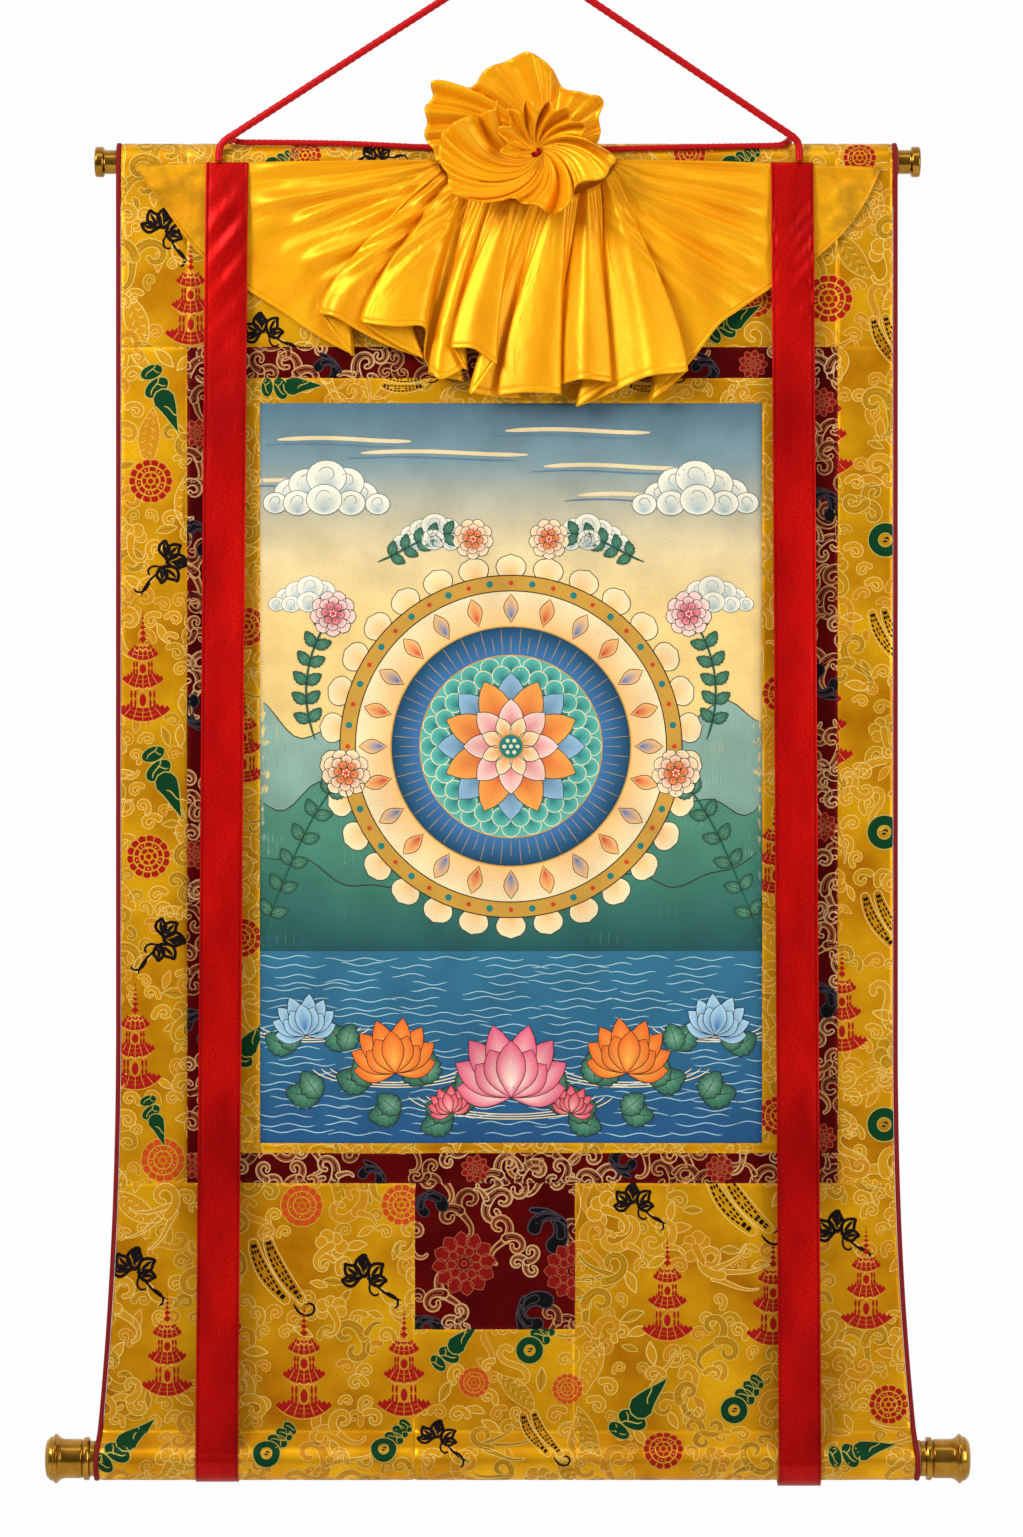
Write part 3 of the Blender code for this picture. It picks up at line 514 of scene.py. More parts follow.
def sheet_of_patch(patch, finish, step=5.2, curl_step=2.2):
    """The closed sheet of one patch, with finer rows where it turns over a rod."""
    front_top, front_bottom = max(patch.top, 0), min(patch.bottom, S_CREASE - 12)
    rows = stops(front_top, front_bottom, step)
    if patch.top < 0:
        rows = np.concatenate([np.arange(patch.top, -0.5, curl_step), rows[rows > 0.5]])
    if patch.bottom > S_CREASE:
        turn = np.linspace(front_bottom, patch.bottom, int((patch.bottom - front_bottom) / curl_step))
        rows = np.concatenate([rows[rows < front_bottom - 0.5], turn])
    s = rows[:, None]
    width = patch.right - patch.left
    share = (stops(0.0, width, step) / width)[None, :]
    left, right = patch_sides(patch, s)
    x = left + (right - left) * share
    s = s + 0 * x
    points, faces = shell(skin(patch, x, s), hang(x, s, -CLOTH / 2 + 0 * x))
    piece = new_object(patch.name + "_brocade", points, faces, finish, shell_uv(x, s))
    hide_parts(patch.name)
    return piece


print(len(GOLD), "gold and", len(MAROON), "maroon pieces")


# %% [markdown]
# ## Brocade
# Brocade is a silk satin with figures woven in by extra, thicker threads. The satin ground shines in soft
# bands, and has a fine grain along its threads. This finish has the ground's satin: a tight noise stretched
# along the warp for the grain, and slow changes of tone as on old dyed silk.

# %% Brocade finish
# Painted shade by height: the cloth darkens from 790 mm under the rod towards the foot, and most in a band
# over the top of the roll and one at its middle, with a painted highlight band between them on the roll's
# front. Columns: height (mm from the rod), share of the thread's brightness that is left there.
SHADE_BY_HEIGHT = ((-1190, 0.95), (-1179, 0.88), (-1176, 0.78), (-1169, 0.76), (-1165, 1.0), (-1160, 1.0),
          (-1157, 0.76), (-1149, 0.78), (-1141, 0.88), (-1110, 0.9), (-790, 1.0))


def by_table(tree, colour, value, table):
    """colour times the share that the table gives at the value; the table's values are in millimetres."""
    low, high = table[0][0], table[-1][0]
    along = add(tree, "MapRange", {"Value": value, "From Min": low * MM, "From Max": high * MM})
    ramp = add(tree, "ValToRGB", {"Fac": along})
    for _ in table[1:-1]:
        ramp.color_ramp.elements.new(0.5)
    for element, (at, left) in zip(ramp.color_ramp.elements, table):
        element.position, element.color = (at - low) / (high - low), (left, left, left, 1)
    return add(tree, "Mix", {MIX: 1.0, MIX_A: colour, MIX_B: ramp}, blend_type="MULTIPLY")


def with_painted_shade(tree, colour, table=SHADE_BY_HEIGHT):
    """colour with painted shade: darker towards the foot, and most in bands over the roll."""
    place = add(tree, "TexCoord")
    apart = add(tree, "SeparateXYZ", {"Vector": place.outputs["Object"]})
    shift = to_model((0, 0, 0))[2] / MM
    return by_table(tree, colour, apart.outputs["Z"], [(z + shift, left) for z, left in table])


def brocade_finish(name, dark, middle, bright, grain=0.0006, **values):
    """Satin brocade ground. The UV map is in metres of cloth, so grain is the real size of a thread, drawn at
    twice that so that it shows in the picture."""
    finish, tree, shader = new_finish(name, **values)
    cloth = add(tree, "TexCoord")
    fine = add(tree, "Mapping", {"Vector": cloth.outputs["UV"], "Scale": (1 / grain, 0.22 / grain, 1)})
    thread = add(tree, "TexNoise", {"Vector": fine, "Scale": 1.0, "Detail": 2.0})
    slow = add(tree, "TexNoise", {"Vector": cloth.outputs["UV"], "Scale": 13.0, "Detail": 4.0})
    age = add(tree, "MapRange", {"Value": slow, "From Min": 0.3, "From Max": 0.68})
    base = add(tree, "Mix", {MIX: age, MIX_A: linear(dark), MIX_B: linear(bright)})
    share = add(tree, "MapRange", {"Value": thread, "From Min": 0.3, "From Max": 0.7,
                                             "To Min": 0.0, "To Max": 0.6})
    tone = add(tree, "Mix", {MIX: share, MIX_A: base, MIX_B: linear(middle)})
    # Painted shade by height over the satin's colour, darkest in bands over the roll at the foot.
    feed(tree, shader, {"Base Color": with_painted_shade(tree, tone)})
    bump = add(tree, "Bump", {"Strength": 0.35, "Distance": 0.0002, "Height": thread})
    feed(tree, shader, {"Normal": bump})
    return finish


# Satin reflects in the colour of its own silk, which a dielectric can't do: a part of the finish is metallic.
gold_satin = brocade_finish("silk brocade, gold satin ground", "#AE6000", "#DA9006", "#FFC016",
                            Roughness=0.38, Metallic=0.6, Specular_IOR_Level=0.1)
maroon_satin = brocade_finish("silk brocade, maroon satin ground", "#3E0102", "#540304", "#6C0605",
                              Roughness=0.4, Metallic=0.5, Specular_IOR_Level=0.08)
gold_sheets = {patch.name: sheet_of_patch(patch, gold_satin) for patch in GOLD}
maroon_sheets = {patch.name: sheet_of_patch(patch, maroon_satin) for patch in MAROON}
brocade = (*gold_sheets.values(), *maroon_sheets.values())
print("brocade triangles:", sum(2 * len(piece.data.polygons) for piece in brocade))

# %% [markdown]
# ## Woven figures
# The figures of the brocade are drawn with extra threads that float on the satin: thin pale outlines, and
# filled shapes in red, green and black. Here each is a flat shape that lies a tenth of a millimetre above the
# ground. A figure is a list of layers, each with its triangles in millimetres, its thread colour and its
# lift. Its scrolls are clothoids, curves whose bend grows steadily, because that is how a hand draws a curl.

# %% Drawing tools
Layer = namedtuple("Layer", "triangles thread lift")


def sweep(x, z, heading, length, bend_start, bend_end, count=15):
    """A clothoid: it starts at (x, z), and its heading turns by the mean of the two bends, all in degrees."""
    t = np.linspace(0, 1, count)
    turn = np.radians(heading + bend_start * t + (bend_end - bend_start) * t * t / 2)
    step = length / (count - 1)
    middle = (turn[1:] + turn[:-1]) / 2
    return np.stack([x + np.append(0, np.cumsum(np.cos(middle))) * step,
                     z + np.append(0, np.cumsum(np.sin(middle))) * step], axis=1)


def ring(x, z, across, up=None, count=24, turn=0.0, start=0.0, stop=360.0):
    """Points of an ellipse, or of part of it, turned by an angle in degrees."""
    a, turn = np.radians(np.linspace(start, stop, count)), math.radians(turn)
    u, v = across * np.cos(a), (across if up is None else up) * np.sin(a)
    return np.stack([x + u * math.cos(turn) - v * math.sin(turn),
                     z + u * math.sin(turn) + v * math.cos(turn)], axis=1)


def sideways(path):
    """The unit direction to the left of a path at each of its points."""
    ahead = np.gradient(path, axis=0)
    ahead /= np.maximum(np.linalg.norm(ahead, axis=1, keepdims=True), 1e-9)
    return np.stack([-ahead[:, 1], ahead[:, 0]], axis=1)


def between(one, other):
    """Triangles that fill the space between two lines with as many points each."""
    a, b, c, d = one[:-1], one[1:], other[1:], other[:-1]
    return np.concatenate([np.stack([a, b, c], axis=1), np.stack([a, c, d], axis=1)])


def line(path, width):
    """A line of even width, its ends drawn thin."""
    from_end = np.minimum(np.arange(len(path)), np.arange(len(path))[::-1])
    side = sideways(path) * (width / 2 * np.minimum(1, 0.35 + from_end * 0.4))[:, None]
    return between(path + side, path - side)


def loop(outline, width):
    """A closed line of even width."""
    path = np.vstack([outline, outline[:1]]) if np.any(outline[0] != outline[-1]) else outline
    ahead = np.roll(path[:-1], -1, axis=0) - np.roll(path[:-1], 1, axis=0)
    ahead /= np.maximum(np.linalg.norm(ahead, axis=1, keepdims=True), 1e-9)
    side = np.stack([-ahead[:, 1], ahead[:, 0]], axis=1) * width / 2
    side = np.vstack([side, side[:1]])
    return between(path + side, path - side)


def fill(outline, middle=None):
    """A fan of triangles from a shape's middle to its outline."""
    path = np.vstack([outline, outline[:1]]) if np.any(outline[0] != outline[-1]) else outline
    centre = np.broadcast_to(path[:-1].mean(axis=0) if middle is None else np.array(middle), path[:-1].shape)
    return np.stack([centre, path[:-1], path[1:]], axis=1)


def band(path, half_start, half_end, belly=0.0):
    """A stroke of changing half width with round tips: its outline, and the triangles of its body."""
    t = np.linspace(0, 1, len(path))
    half = (half_start + (half_end - half_start) * t + belly * np.sin(math.pi * t))[:, None]
    side = sideways(path)
    left, right = path + side * half, path - side * half
    a = np.radians(np.linspace(90, -90, 6)[1:-1])[:, None]
    tips = []
    for k, facing in ((-1, 1), (0, -1)):
        ahead = np.array([side[k, 1], -side[k, 0]]) * facing
        tips.append(path[k] + half[k] * (np.cos(a) * ahead + np.sin(a) * side[k] * facing))
    outline = np.vstack([left, tips[0], right[::-1], tips[1]])
    caps = [fill(np.vstack([left[-1:], tips[0], right[-1:]]), path[-1]),
            fill(np.vstack([right[:1], tips[1], left[:1]]), path[0])]
    return outline, np.concatenate([between(left, right), *caps])


def moved(layers, x=0.0, z=0.0, turn=0.0, size=1.0, flip=False):
    """The figure turned (degrees), scaled, mirrored and moved."""
    c, s = math.cos(math.radians(turn)) * size, math.sin(math.radians(turn)) * size
    matrix = np.array([[c, s], [-s, c]])
    mirror = np.array([-1 if flip else 1, 1])
    return [Layer((layer.triangles * mirror) @ matrix + (x, z), layer.thread, layer.lift) for layer in layers]


print("a scroll of 30 mm curls up to", sweep(0, 0, 90, 30, 60, 500)[-1].round(1))

# %% Scroll figures
Scroll = namedtuple("Scroll", "x z heading length bend_start bend_end half_start half_end")
# Each cloud is a few tapering scrolls, the later ones over the earlier. Columns: start (x, z), heading,
# length, bend at start and end (degrees), half width at start and end (mm).
CLOUDS = {
    "ruyi": (
        Scroll(0, -2, -95, 34, 90, -330, 3.4, 1.4),
        Scroll(-1, -1, 70, 50, -60, -560, 4.2, 2.0),
        Scroll(1, -1, 110, 42, 80, 540, 4.2, 1.9),
    ),
    "ess": (
        Scroll(-12, 2, 80, 62, -900, 860, 2.8, 2.8),
        Scroll(6, -4, 20, 18, -40, -420, 2.6, 1.2),
    ),
    "cee": (
        Scroll(-6, 0, -90, 36, 40, 500, 4.2, 2.2),
        Scroll(-6, 0, 88, 42, -40, -540, 4.2, 2.0),
        Scroll(-9, 2, 150, 16, -40, 200, 2.8, 1.0),
    ),
    "trefoil": (
        Scroll(0, 0, 90, 30, 60, 500, 3.6, 1.6),
        Scroll(0, 0, 210, 30, 60, 500, 3.6, 1.6),
        Scroll(0, 0, 330, 34, 60, 520, 3.6, 1.8),
    ),
    "comet": (
        Scroll(2, 2, -150, 44, 60, -120, 2.6, 0.6),
        Scroll(4, -2, -128, 36, 60, -120, 2.4, 0.6),
        Scroll(3, 4, -172, 36, 60, -160, 2.4, 0.6),
        Scroll(-2, -4, 40, 48, 80, 560, 3.6, 2.2),
    ),
    "stem": (
        Scroll(-14, 14, -60, 58, 120, -190, 1.0, 3.8),
        Scroll(2, -4, 60, 30, -40, -560, 3.0, 1.4),
        Scroll(-8, 2, 200, 18, -60, -300, 2.4, 1.2),
    ),
}


def cloud(kind, outer, inner, body, width=0.7):
    """A cloud's scrolls: each has a body thread, an outline round it, and a second outline inside."""
    layers = []
    for order, row in enumerate(CLOUDS[kind]):
        path = sweep(*row[:6])
        lift = 0.12 + 0.02 * order
        outline, triangles = band(path, row.half_start, row.half_end)
        within = band(path[1:-1], row.half_start * 0.42, row.half_end * 0.42)[0]
        layers += [Layer(triangles, body, lift), Layer(loop(outline, width), outer, lift + 0.01),
                   Layer(loop(within, width * 0.75), inner, lift + 0.01)]
    return layers


def puff(outer, inner, body, bumps=5, size=7.4):
    """A puff of cloud: bumps round a middle, each a disc with an arc inside, and a curl below."""
    layers = []
    for k in range(bumps):
        a = math.radians(200 - 220 * k / (bumps - 1))
        x, z, r = 1.25 * size * math.cos(a), size * math.sin(a), size * (0.72 + 0.12 * (k % 2))
        lift = 0.12 + 0.015 * k
        disc = ring(x, z, r, count=16)
        arc_line = ring(x, z, r * 0.55, count=10, start=200 - 50 * k, stop=480 - 50 * k)
        layers += [Layer(fill(disc), body, lift), Layer(loop(disc, 0.75), outer, lift + 0.006),
                   Layer(line(arc_line, 0.7), inner, lift + 0.006)]
    outline, triangles = band(sweep(0, 0, -70, 34, 60, -420), 3.6, 1.3)
    return layers + [Layer(triangles, body, 0.20), Layer(loop(outline, 0.75), outer, 0.21)]


def plume(outer, inner, body, length=46.0, width=7.4):
    """A long leaf of cloud: an outline, and a squiggle of short bent strokes that fills it."""
    path = sweep(0, length / 2, -84, length, -50, 90)
    outline, triangles = band(path, 0.9, 2.4, width)
    layers = [Layer(triangles, body, 0.12), Layer(loop(outline, 0.75), outer, 0.14)]
    side = sideways(path)
    for k in range(2, len(path) - 2):
        half = width * math.sin(math.pi * k / len(path)) * 0.62
        for way in (-1, 1):
            start = path[k] + side[k] * half * way * 0.75
            stroke = sweep(*start, math.degrees(math.atan2(side[k, 1], side[k, 0])) + 60 * way, 5.4,
                           240 * way, -90, 6)
            layers.append(Layer(line(stroke, 0.7), inner if k % 2 else outer, 0.14))
    return layers


def curl(outer, inner, body):
    """A small hook of one scroll, for the gaps between the clouds."""
    outline, triangles = band(sweep(-6, -3, 80, 26, -100, -520, 11), 2.6, 1.4)
    return [Layer(triangles, body, 0.12), Layer(loop(outline, 0.7), outer, 0.13)]


def seed(outer, inner, body):
    """A small pointed leaf with a dark vein."""
    path = sweep(-7, -6, 40, 18, 30, -60, 8)
    outline, triangles = band(path, 0.6, 0.6, 3.4)
    return [Layer(triangles, body, 0.12), Layer(loop(outline, 0.9), outer, 0.13),
            Layer(line(path, 0.7), inner, 0.13)]


print(len(CLOUDS), "clouds of scrolls, and a puff, a plume, a curl and a seed")


# %% Round flower and jade
def wedge(inner, outer, half_angle, bulge=0.0):
    """A block of a ring, from its inner to its outer radius, its outer side swollen by a share."""
    t = np.linspace(-1, 1, 5)
    a = np.radians(half_angle * t)
    unit = np.stack([np.cos(a), np.sin(a)], axis=1)
    return between(unit * outer * (1 + bulge * (1 - t**2))[:, None], unit * inner)


def medallion(red, pale, radius=19.0):
    """A round flower: a ring of blunt petals, a ring of cells, and a ringed heart."""
    layers = [Layer(loop(ring(0, 0, radius * share, count=count), 0.8), pale, 0.13)
              for share, count in ((1.05, 36), (0.70, 28), (0.43, 20))]
    for k in range(14):
        layers += moved([Layer(wedge(radius * 0.75, radius * 0.95, 10.6, 0.07), red, 0.14)],
                        turn=360 / 14 * k)
    for k in range(10):
        layers += moved([Layer(wedge(radius * 0.48, radius * 0.65, 14.5, 0.05), red, 0.14)], turn=36 * k + 9)
        if k % 2:
            layers += moved([Layer(fill(ring(radius * 0.57, 0, radius * 0.045, count=7)), pale, 0.16)],
                            turn=36 * k + 9)
    for k in range(6):
        layers += moved([Layer(wedge(radius * 0.22, radius * 0.37, 24, 0.05), red, 0.14)], turn=60 * k)
    layers.append(Layer(fill(ring(0, 0, radius * 0.13, count=10)), red, 0.14))
    return layers


def leaf(green, pale, across=10.4, up=6.4):
    """One lobe: an oval in green with an outline and a squiggle."""
    return [Layer(fill(ring(0, 0, across, up, count=20)), green, 0.14),
            Layer(loop(ring(0, 0, across, up, count=20), 0.9), pale, 0.16),
            Layer(line(sweep(-0.62 * across, -0.3 * up, 70, 1.5 * across, -260, 300, 12), 0.9), pale, 0.17),
            Layer(line(sweep(0.1 * across, 0.45 * up, -30, 0.8 * across, -160, 220, 8), 0.8), pale, 0.17)]


JADE_LEAN, JADE_STEP = 52.0, 10.0


def jade(green, pale, dark, lobes=3):
    """A jade ring with a pierced middle, and behind it a slanting chain of lobes, each smaller."""
    layers = []
    lean = math.radians(JADE_LEAN)
    for k in reversed(range(lobes)):
        along = 15.5 + JADE_STEP * k * (1 - 0.06 * k)
        layers += moved(leaf(green, pale), along * math.cos(lean), along * math.sin(lean),
                        JADE_LEAN - 84 - 9 * k, 1.0 - 0.12 * k)
    layers += [Layer(between(ring(0, 0, 12.4, count=30), ring(0, 0, 5.0, count=30)), green, 0.18),
               Layer(loop(ring(0, 0, 12.5, count=30), 0.9), pale, 0.20),
               Layer(loop(ring(0, 0, 4.9, count=18), 0.8), pale, 0.20),
               Layer(fill(ring(0.4, 0.2, 2.6, 1.7, count=10, turn=40)), dark, 0.20),
               Layer(line(sweep(-3.0, -1.6, 60, 7, -80, -200, 8), 0.7), pale, 0.21)]
    return layers


def jade_pod(green, pale):
    """Lobes in a row across their chain, from a wide one to a pointed tip."""
    layers = moved(leaf(green, pale), x=-21, z=3, turn=80, size=0.86)
    layers += moved(leaf(green, pale), x=-9, z=0, turn=96, size=1.02)
    tip, triangles = band(sweep(2, 0, 0, 26, -40, 30), 8.6, 0.6)
    return layers + [Layer(triangles, green, 0.17), Layer(loop(tip, 0.9), pale, 0.18),
                     Layer(line(sweep(6, -3, 70, 14, -260, 260, 12), 0.9), pale, 0.19)]


print("medallion:", len(medallion("#000000", "#FFFFFF")), "layers")


# %% Pagoda
def roof(z, half, rise, rows, red, pale):
    """A roof of stacked tile bands, each shorter than the last, with swept-up tips and pale ribs."""
    t = np.linspace(-1, 1, 13)
    layers = []
    for k in range(rows):
        low = np.stack([half * (1 - 0.19 * k) * t, z + 3.9 * k + rise * (1 - 0.3 * k) * np.abs(t) ** 2.2],
                       axis=1)
        layers.append(Layer(between(low, low * (0.9, 1) + (0, 3.3)), red, 0.14))
        if k == 0:
            layers.append(Layer(line(low - (0, 1.0), 0.8), pale, 0.15))
    for x in (-0.6, -0.3, 0.0, 0.3, 0.6):
        eaves, ridge = (half * x * 1.25, z - 0.5 + rise * abs(x) ** 2), (half * x * 0.72, z + 3.9 * rows)
        layers.append(Layer(line(np.linspace(eaves, ridge, 3), 0.75), pale, 0.16))
    return layers


def storey(z, half, height, red, pale):
    """One storey: pale posts, a red window under its arch, and red panels beside it."""
    layers = [Layer(line(np.array([(x * half, z), (x * half * 0.93, z + height)]), 0.9), pale, 0.14)
              for x in (-1, -0.45, 0.45, 1)]
    layers.append(Layer(fill(ring(0, z + height * 0.42, 2.8, height * 0.38, count=12)), red, 0.15))
    layers.append(Layer(loop(ring(0, z + height * 0.45, 4.0, height * 0.52, count=14), 0.7), pale, 0.14))
    for x in (-0.86, -0.56, 0.56, 0.86):
        for low, high in ((0.0, 0.46), (0.54, 1.0)):
            panel = np.array([(x * half, z + height * low), (x * half * 0.97, z + height * high)])
            layers.append(Layer(line(np.linspace(*panel, 3), 2.9), red, 0.15))
    return layers


def pagoda(red, pale):
    """Three roofs, two storeys between them and a spire, 94 mm high."""
    layers = roof(0, 23, 10, 3, red, pale) + storey(12, 11.5, 14, red, pale)
    layers += roof(28, 17.5, 7.5, 3, red, pale) + storey(40, 9.0, 10.5, red, pale)
    layers += roof(52, 13, 4.6, 3, red, pale)
    for z, half in ((27.4, 11.0), (60.5, 7.5), (64.5, 5.4)):
        swags = z + 1.1 * np.cos(np.linspace(0, 6 * math.pi, 13))
        garland = np.stack([np.linspace(-half, half, 13), swags], axis=1)
        layers.append(Layer(line(garland, 1.2), pale, 0.17))
    for z, size in ((69.5, 3.8), (74.8, 3.0), (79.4, 2.4), (83.4, 1.9), (87.0, 1.4)):
        diamond = np.array([(0, -1.0), (1.1, 0), (0, 1.0), (-1.1, 0)]) * size * 0.8 + (0, z)
        layers.append(Layer(fill(diamond), red, 0.15))
    layers.append(Layer(line(np.array([(0, 88), (0, 94)]), 1.0), red, 0.14))
    return layers


print("pagoda:", len(pagoda("#000000", "#FFFFFF")), "layers")

# %% Tassel and bud
BEAD_STEP = 3.5


def beaded(path, half, black):
    """Three rows of dark beads along a path, wider in its middle."""
    layers = []
    length = np.linalg.norm(np.diff(path, axis=0), axis=1).sum()
    count = int(length / BEAD_STEP)
    fine, _ = evenly(path, count * 4 + 1)
    side = sideways(fine)
    for row in (-1.0, 0.0, 1.0):
        for k in range(count):
            part = slice(4 * k, 4 * k + 4)
            t = (4 * k + 2) / (4 * count)
            offset = row * half * (0.35 + 0.65 * math.sin(math.pi * min(t * 1.15, 1)))
            if abs(row) < 0.5 and k % 3 == 2:
                continue
            bead = line(fine[part] + side[part] * offset, 1.8 if abs(row) > 0.5 else 1.4)
            layers.append(Layer(bead, black, 0.15))
    return layers


def tassel(black, pale):
    """Two beaded bands side by side, with a hooked tail."""
    layers = beaded(sweep(-8, 18, -80, 40, 50, 20), 2.6, black)
    layers += beaded(sweep(1, 20, -75, 42, 40, 10), 2.4, black)
    layers.append(Layer(line(sweep(17, -19, -65, 26, 30, 560), 1.5), black, 0.15))
    layers.append(Layer(loop(band(sweep(-8, 18, -80, 40, 50, 20), 3.4, 3.2, 1.2)[0], 0.6), pale, 0.10))
    layers.append(Layer(loop(band(sweep(1, 20, -75, 42, 40, 10), 3.2, 3.0, 1.2)[0], 0.6), pale, 0.10))
    return layers


# Columns: foot x, z, heading, length, half width of each petal.
BUD_PETALS = ((-3, -3, 96, 14, 4.4), (1, -5, 50, 13, 3.8), (-6, -4, 142, 13, 3.8), (2, -8, 10, 10, 3.0),
              (-8, -6, 186, 10, 3.0), (-3, 3, 90, 8, 2.0))


def bud(black, pale):
    """A bud of petals with thick outlines and a vein in each, on a stalk with two curled tails."""
    layers = []
    for x, z, heading, length, belly in BUD_PETALS:
        path = sweep(x, z, heading, length, 40, -90, 9)
        layers += [Layer(loop(band(path, 0.9, 0.9, belly)[0], 2.4), black, 0.13),
                   Layer(line(path[1:-1], 2.5), black, 0.14)]
    for x, z, heading, length, end in ((4, -8, -50, 24, 60), (12, -15, -20, 18, -300),
                                       (1, -9, -100, 14, 320)):
        layers.append(Layer(line(sweep(x, z, heading, length, 20, end), 1.6), black, 0.13))
    return layers + [Layer(loop(band(sweep(10, -14, -60, 16, 0, 160), 1.8, 1.0, 1.5)[0], 0.7), pale, 0.10)]


print("tassel:", len(tassel("#000000", "#FFFFFF")), "layers")


# %% Flowers and leaves of the maroon
def flower(fill_thread, outline, radius=29.0, petals=12):
    """A chrysanthemum: two rings of pointed petals, each outlined, round a ringed heart."""
    layers = []
    rings = ((1.0, 0.50, 0.23, petals), (0.58, 0.24, 0.15, petals - 3))
    for ring_no, (reach, start, wide, count) in enumerate(rings):
        for k in range(count):
            a = 360 / count * (k + 0.5 * ring_no)
            u = np.linspace(0, 1, 9)
            top = np.stack([start + (reach - start) * u, wide * np.sin(math.pi * u**0.8) ** 0.8],
                           axis=1) * radius
            petal = np.vstack([top, (top * (1, -1))[-2:0:-1]])
            layers += moved([Layer(fill(petal * (0.98, 0.82)), fill_thread, 0.11),
                             Layer(loop(petal, 1.0), outline, 0.12)], turn=a)
    layers.append(Layer(loop(ring(0, 0, radius * 0.2, count=20), 1.0), outline, 0.12))
    layers.append(Layer(fill(ring(0, 0, radius * 0.14, count=16)), fill_thread, 0.11))
    layers.append(Layer(loop(ring(0, 0, radius * 0.08, count=10), 0.8), outline, 0.12))
    return layers


def comma(dark, outline):
    """A pair of dark comma leaves with grey outlines."""
    layers = []
    pair = (Scroll(-9, 7, -20, 36, -60, -230, 1.4, 5.6), Scroll(9, -9, 115, 26, 60, 200, 1.0, 4.4))
    for order, row in enumerate(pair):
        path = sweep(*row[:6])
        shape, triangles = band(path, row.half_start, row.half_end)
        layers.append(Layer(triangles, dark, 0.09 + 0.02 * order))
        layers.append(Layer(loop(shape, 0.9), outline, 0.10 + 0.02 * order))
        layers.append(Layer(loop(band(path[3:-3], row.half_start * 0.4, row.half_end * 0.5)[0], 0.7), outline,
                            0.10 + 0.02 * order))
    return layers


print("chrysanthemum:", len(flower("#000000", "#FFFFFF")), "layers")

# %% [markdown]
# A figure is woven into one patch: it is cut off at the patch's seams, as the shears cut the cloth, its large
# triangles are halved until they follow the folds, and every corner goes through the patch's own skin
# function. One mesh holds all the figures of a patch, and an attribute gives each its thread's colour.

# %% Weave figures into a patch
LONGEST_EDGE = 5.6


def halved(table, longest):
    """Rows of three corners (x, z, lift, colour): long triangles are split at their longest edge's middle."""
    for _ in range(7):
        edges = np.linalg.norm(table[..., :2] - np.roll(table[..., :2], -1, axis=1), axis=2)
        long = edges.max(axis=1) > longest
        if not long.any():
            break
        split, first = table[long], edges[long].argmax(axis=1)
        row = np.arange(len(split))
        a, b, c = split[row, first], split[row, (first + 1) % 3], split[row, (first + 2) % 3]
        middle = (a + b) / 2
        table = np.concatenate([table[~long], np.stack([a, middle, c], 1), np.stack([middle, b, c], 1)])
    return table


def corners_of(layer):
    """A layer's rows for the table. Its thread is one colour code, or a linear colour for each corner."""
    colour = np.array(linear(layer.thread)) if isinstance(layer.thread, str) else layer.thread
    shape = layer.triangles.shape[:2]
    return np.concatenate([layer.triangles, np.full((*shape, 1), layer.lift),
                           np.broadcast_to(colour, (*shape, 4))], 2)


def weave(name, patch, layers, finish, longest=LONGEST_EDGE):
    """All layers as one mesh on the patch. Figures are drawn with z up, so s is minus their z."""
    table = np.concatenate([corners_of(layer) for layer in layers])
    x, z = table[..., 0], table[..., 1]
    reach = 25 if patch.flared else 0
    near = (x.max(1) > patch.left - reach) & (x.min(1) < patch.right + reach)
    near &= (-z.min(1) > patch.top) & (-z.max(1) < patch.bottom)
    table = halved(table[near], longest)
    table[..., 1] = np.clip(-table[..., 1], patch.top, patch.bottom)
    left, right = patch_sides(patch, table[..., 1])
    table[..., 0] = np.clip(table[..., 0], left, right)
    x, s = table[..., 0], table[..., 1]
    twice = (x[:, 1] - x[:, 0]) * (s[:, 2] - s[:, 0]) - (x[:, 2] - x[:, 0]) * (s[:, 1] - s[:, 0])
    backward = twice > 0
    table[backward] = table[backward][:, ::-1]
    table = table[np.abs(twice) > 0.01].reshape(-1, 7)
    points = skin(patch, table[:, 0], table[:, 1], table[:, 2])
    return new_object(name, points, np.arange(len(points)).reshape(-1, 3), finish, table[:, :2] * MM,
                      table[:, 3:], smooth=False)


print("no woven edge is longer than", LONGEST_EDGE, "mm")

# %% Figured thread finish
# Thicker, looser silk than the ground's: duller, with a coarse grain that breaks up its flat shapes.
figure_silk, tree, shader = new_finish("brocade figures, floated silk weft", Roughness=0.5, Metallic=0.3,
                                        Specular_IOR_Level=0.12)
thread = add(tree, "Attribute", attribute_name="thread")
cloth = add(tree, "TexCoord")
fine = add(tree, "Mapping", {"Vector": cloth.outputs["UV"], "Scale": (900.0, 2600.0, 1)})
float_grain = add(tree, "TexNoise", {"Vector": fine, "Scale": 1.0, "Detail": 1.0})
shade = add(tree, "MapRange", {"Value": float_grain, "From Min": 0.3, "From Max": 0.7,
                                         "To Min": 0.62, "To Max": 1.08})
tone = add(tree, "VectorMath", {0: thread, 3: shade}, operation="SCALE")
# The same painted shade by height as on the satin ground.
feed(tree, shader, {"Base Color": with_painted_shade(tree, tone)})
bump = add(tree, "Bump", {"Strength": 0.3, "Distance": 0.0002, "Height": float_grain})
feed(tree, shader, {"Normal": bump})
print("figured thread ready")

# %% [markdown]
# ## The gold brocade's figures
# The coloured figures stand where the cutter's pieces of cloth show them: a round flower, a pagoda, a jade
# ring or pod, a beaded tassel and a veined bud take turns down each strip. The clouds fill what is left, on a
# staggered grid with some play in place, turn and size. Clouds keep clear of the coloured figures.

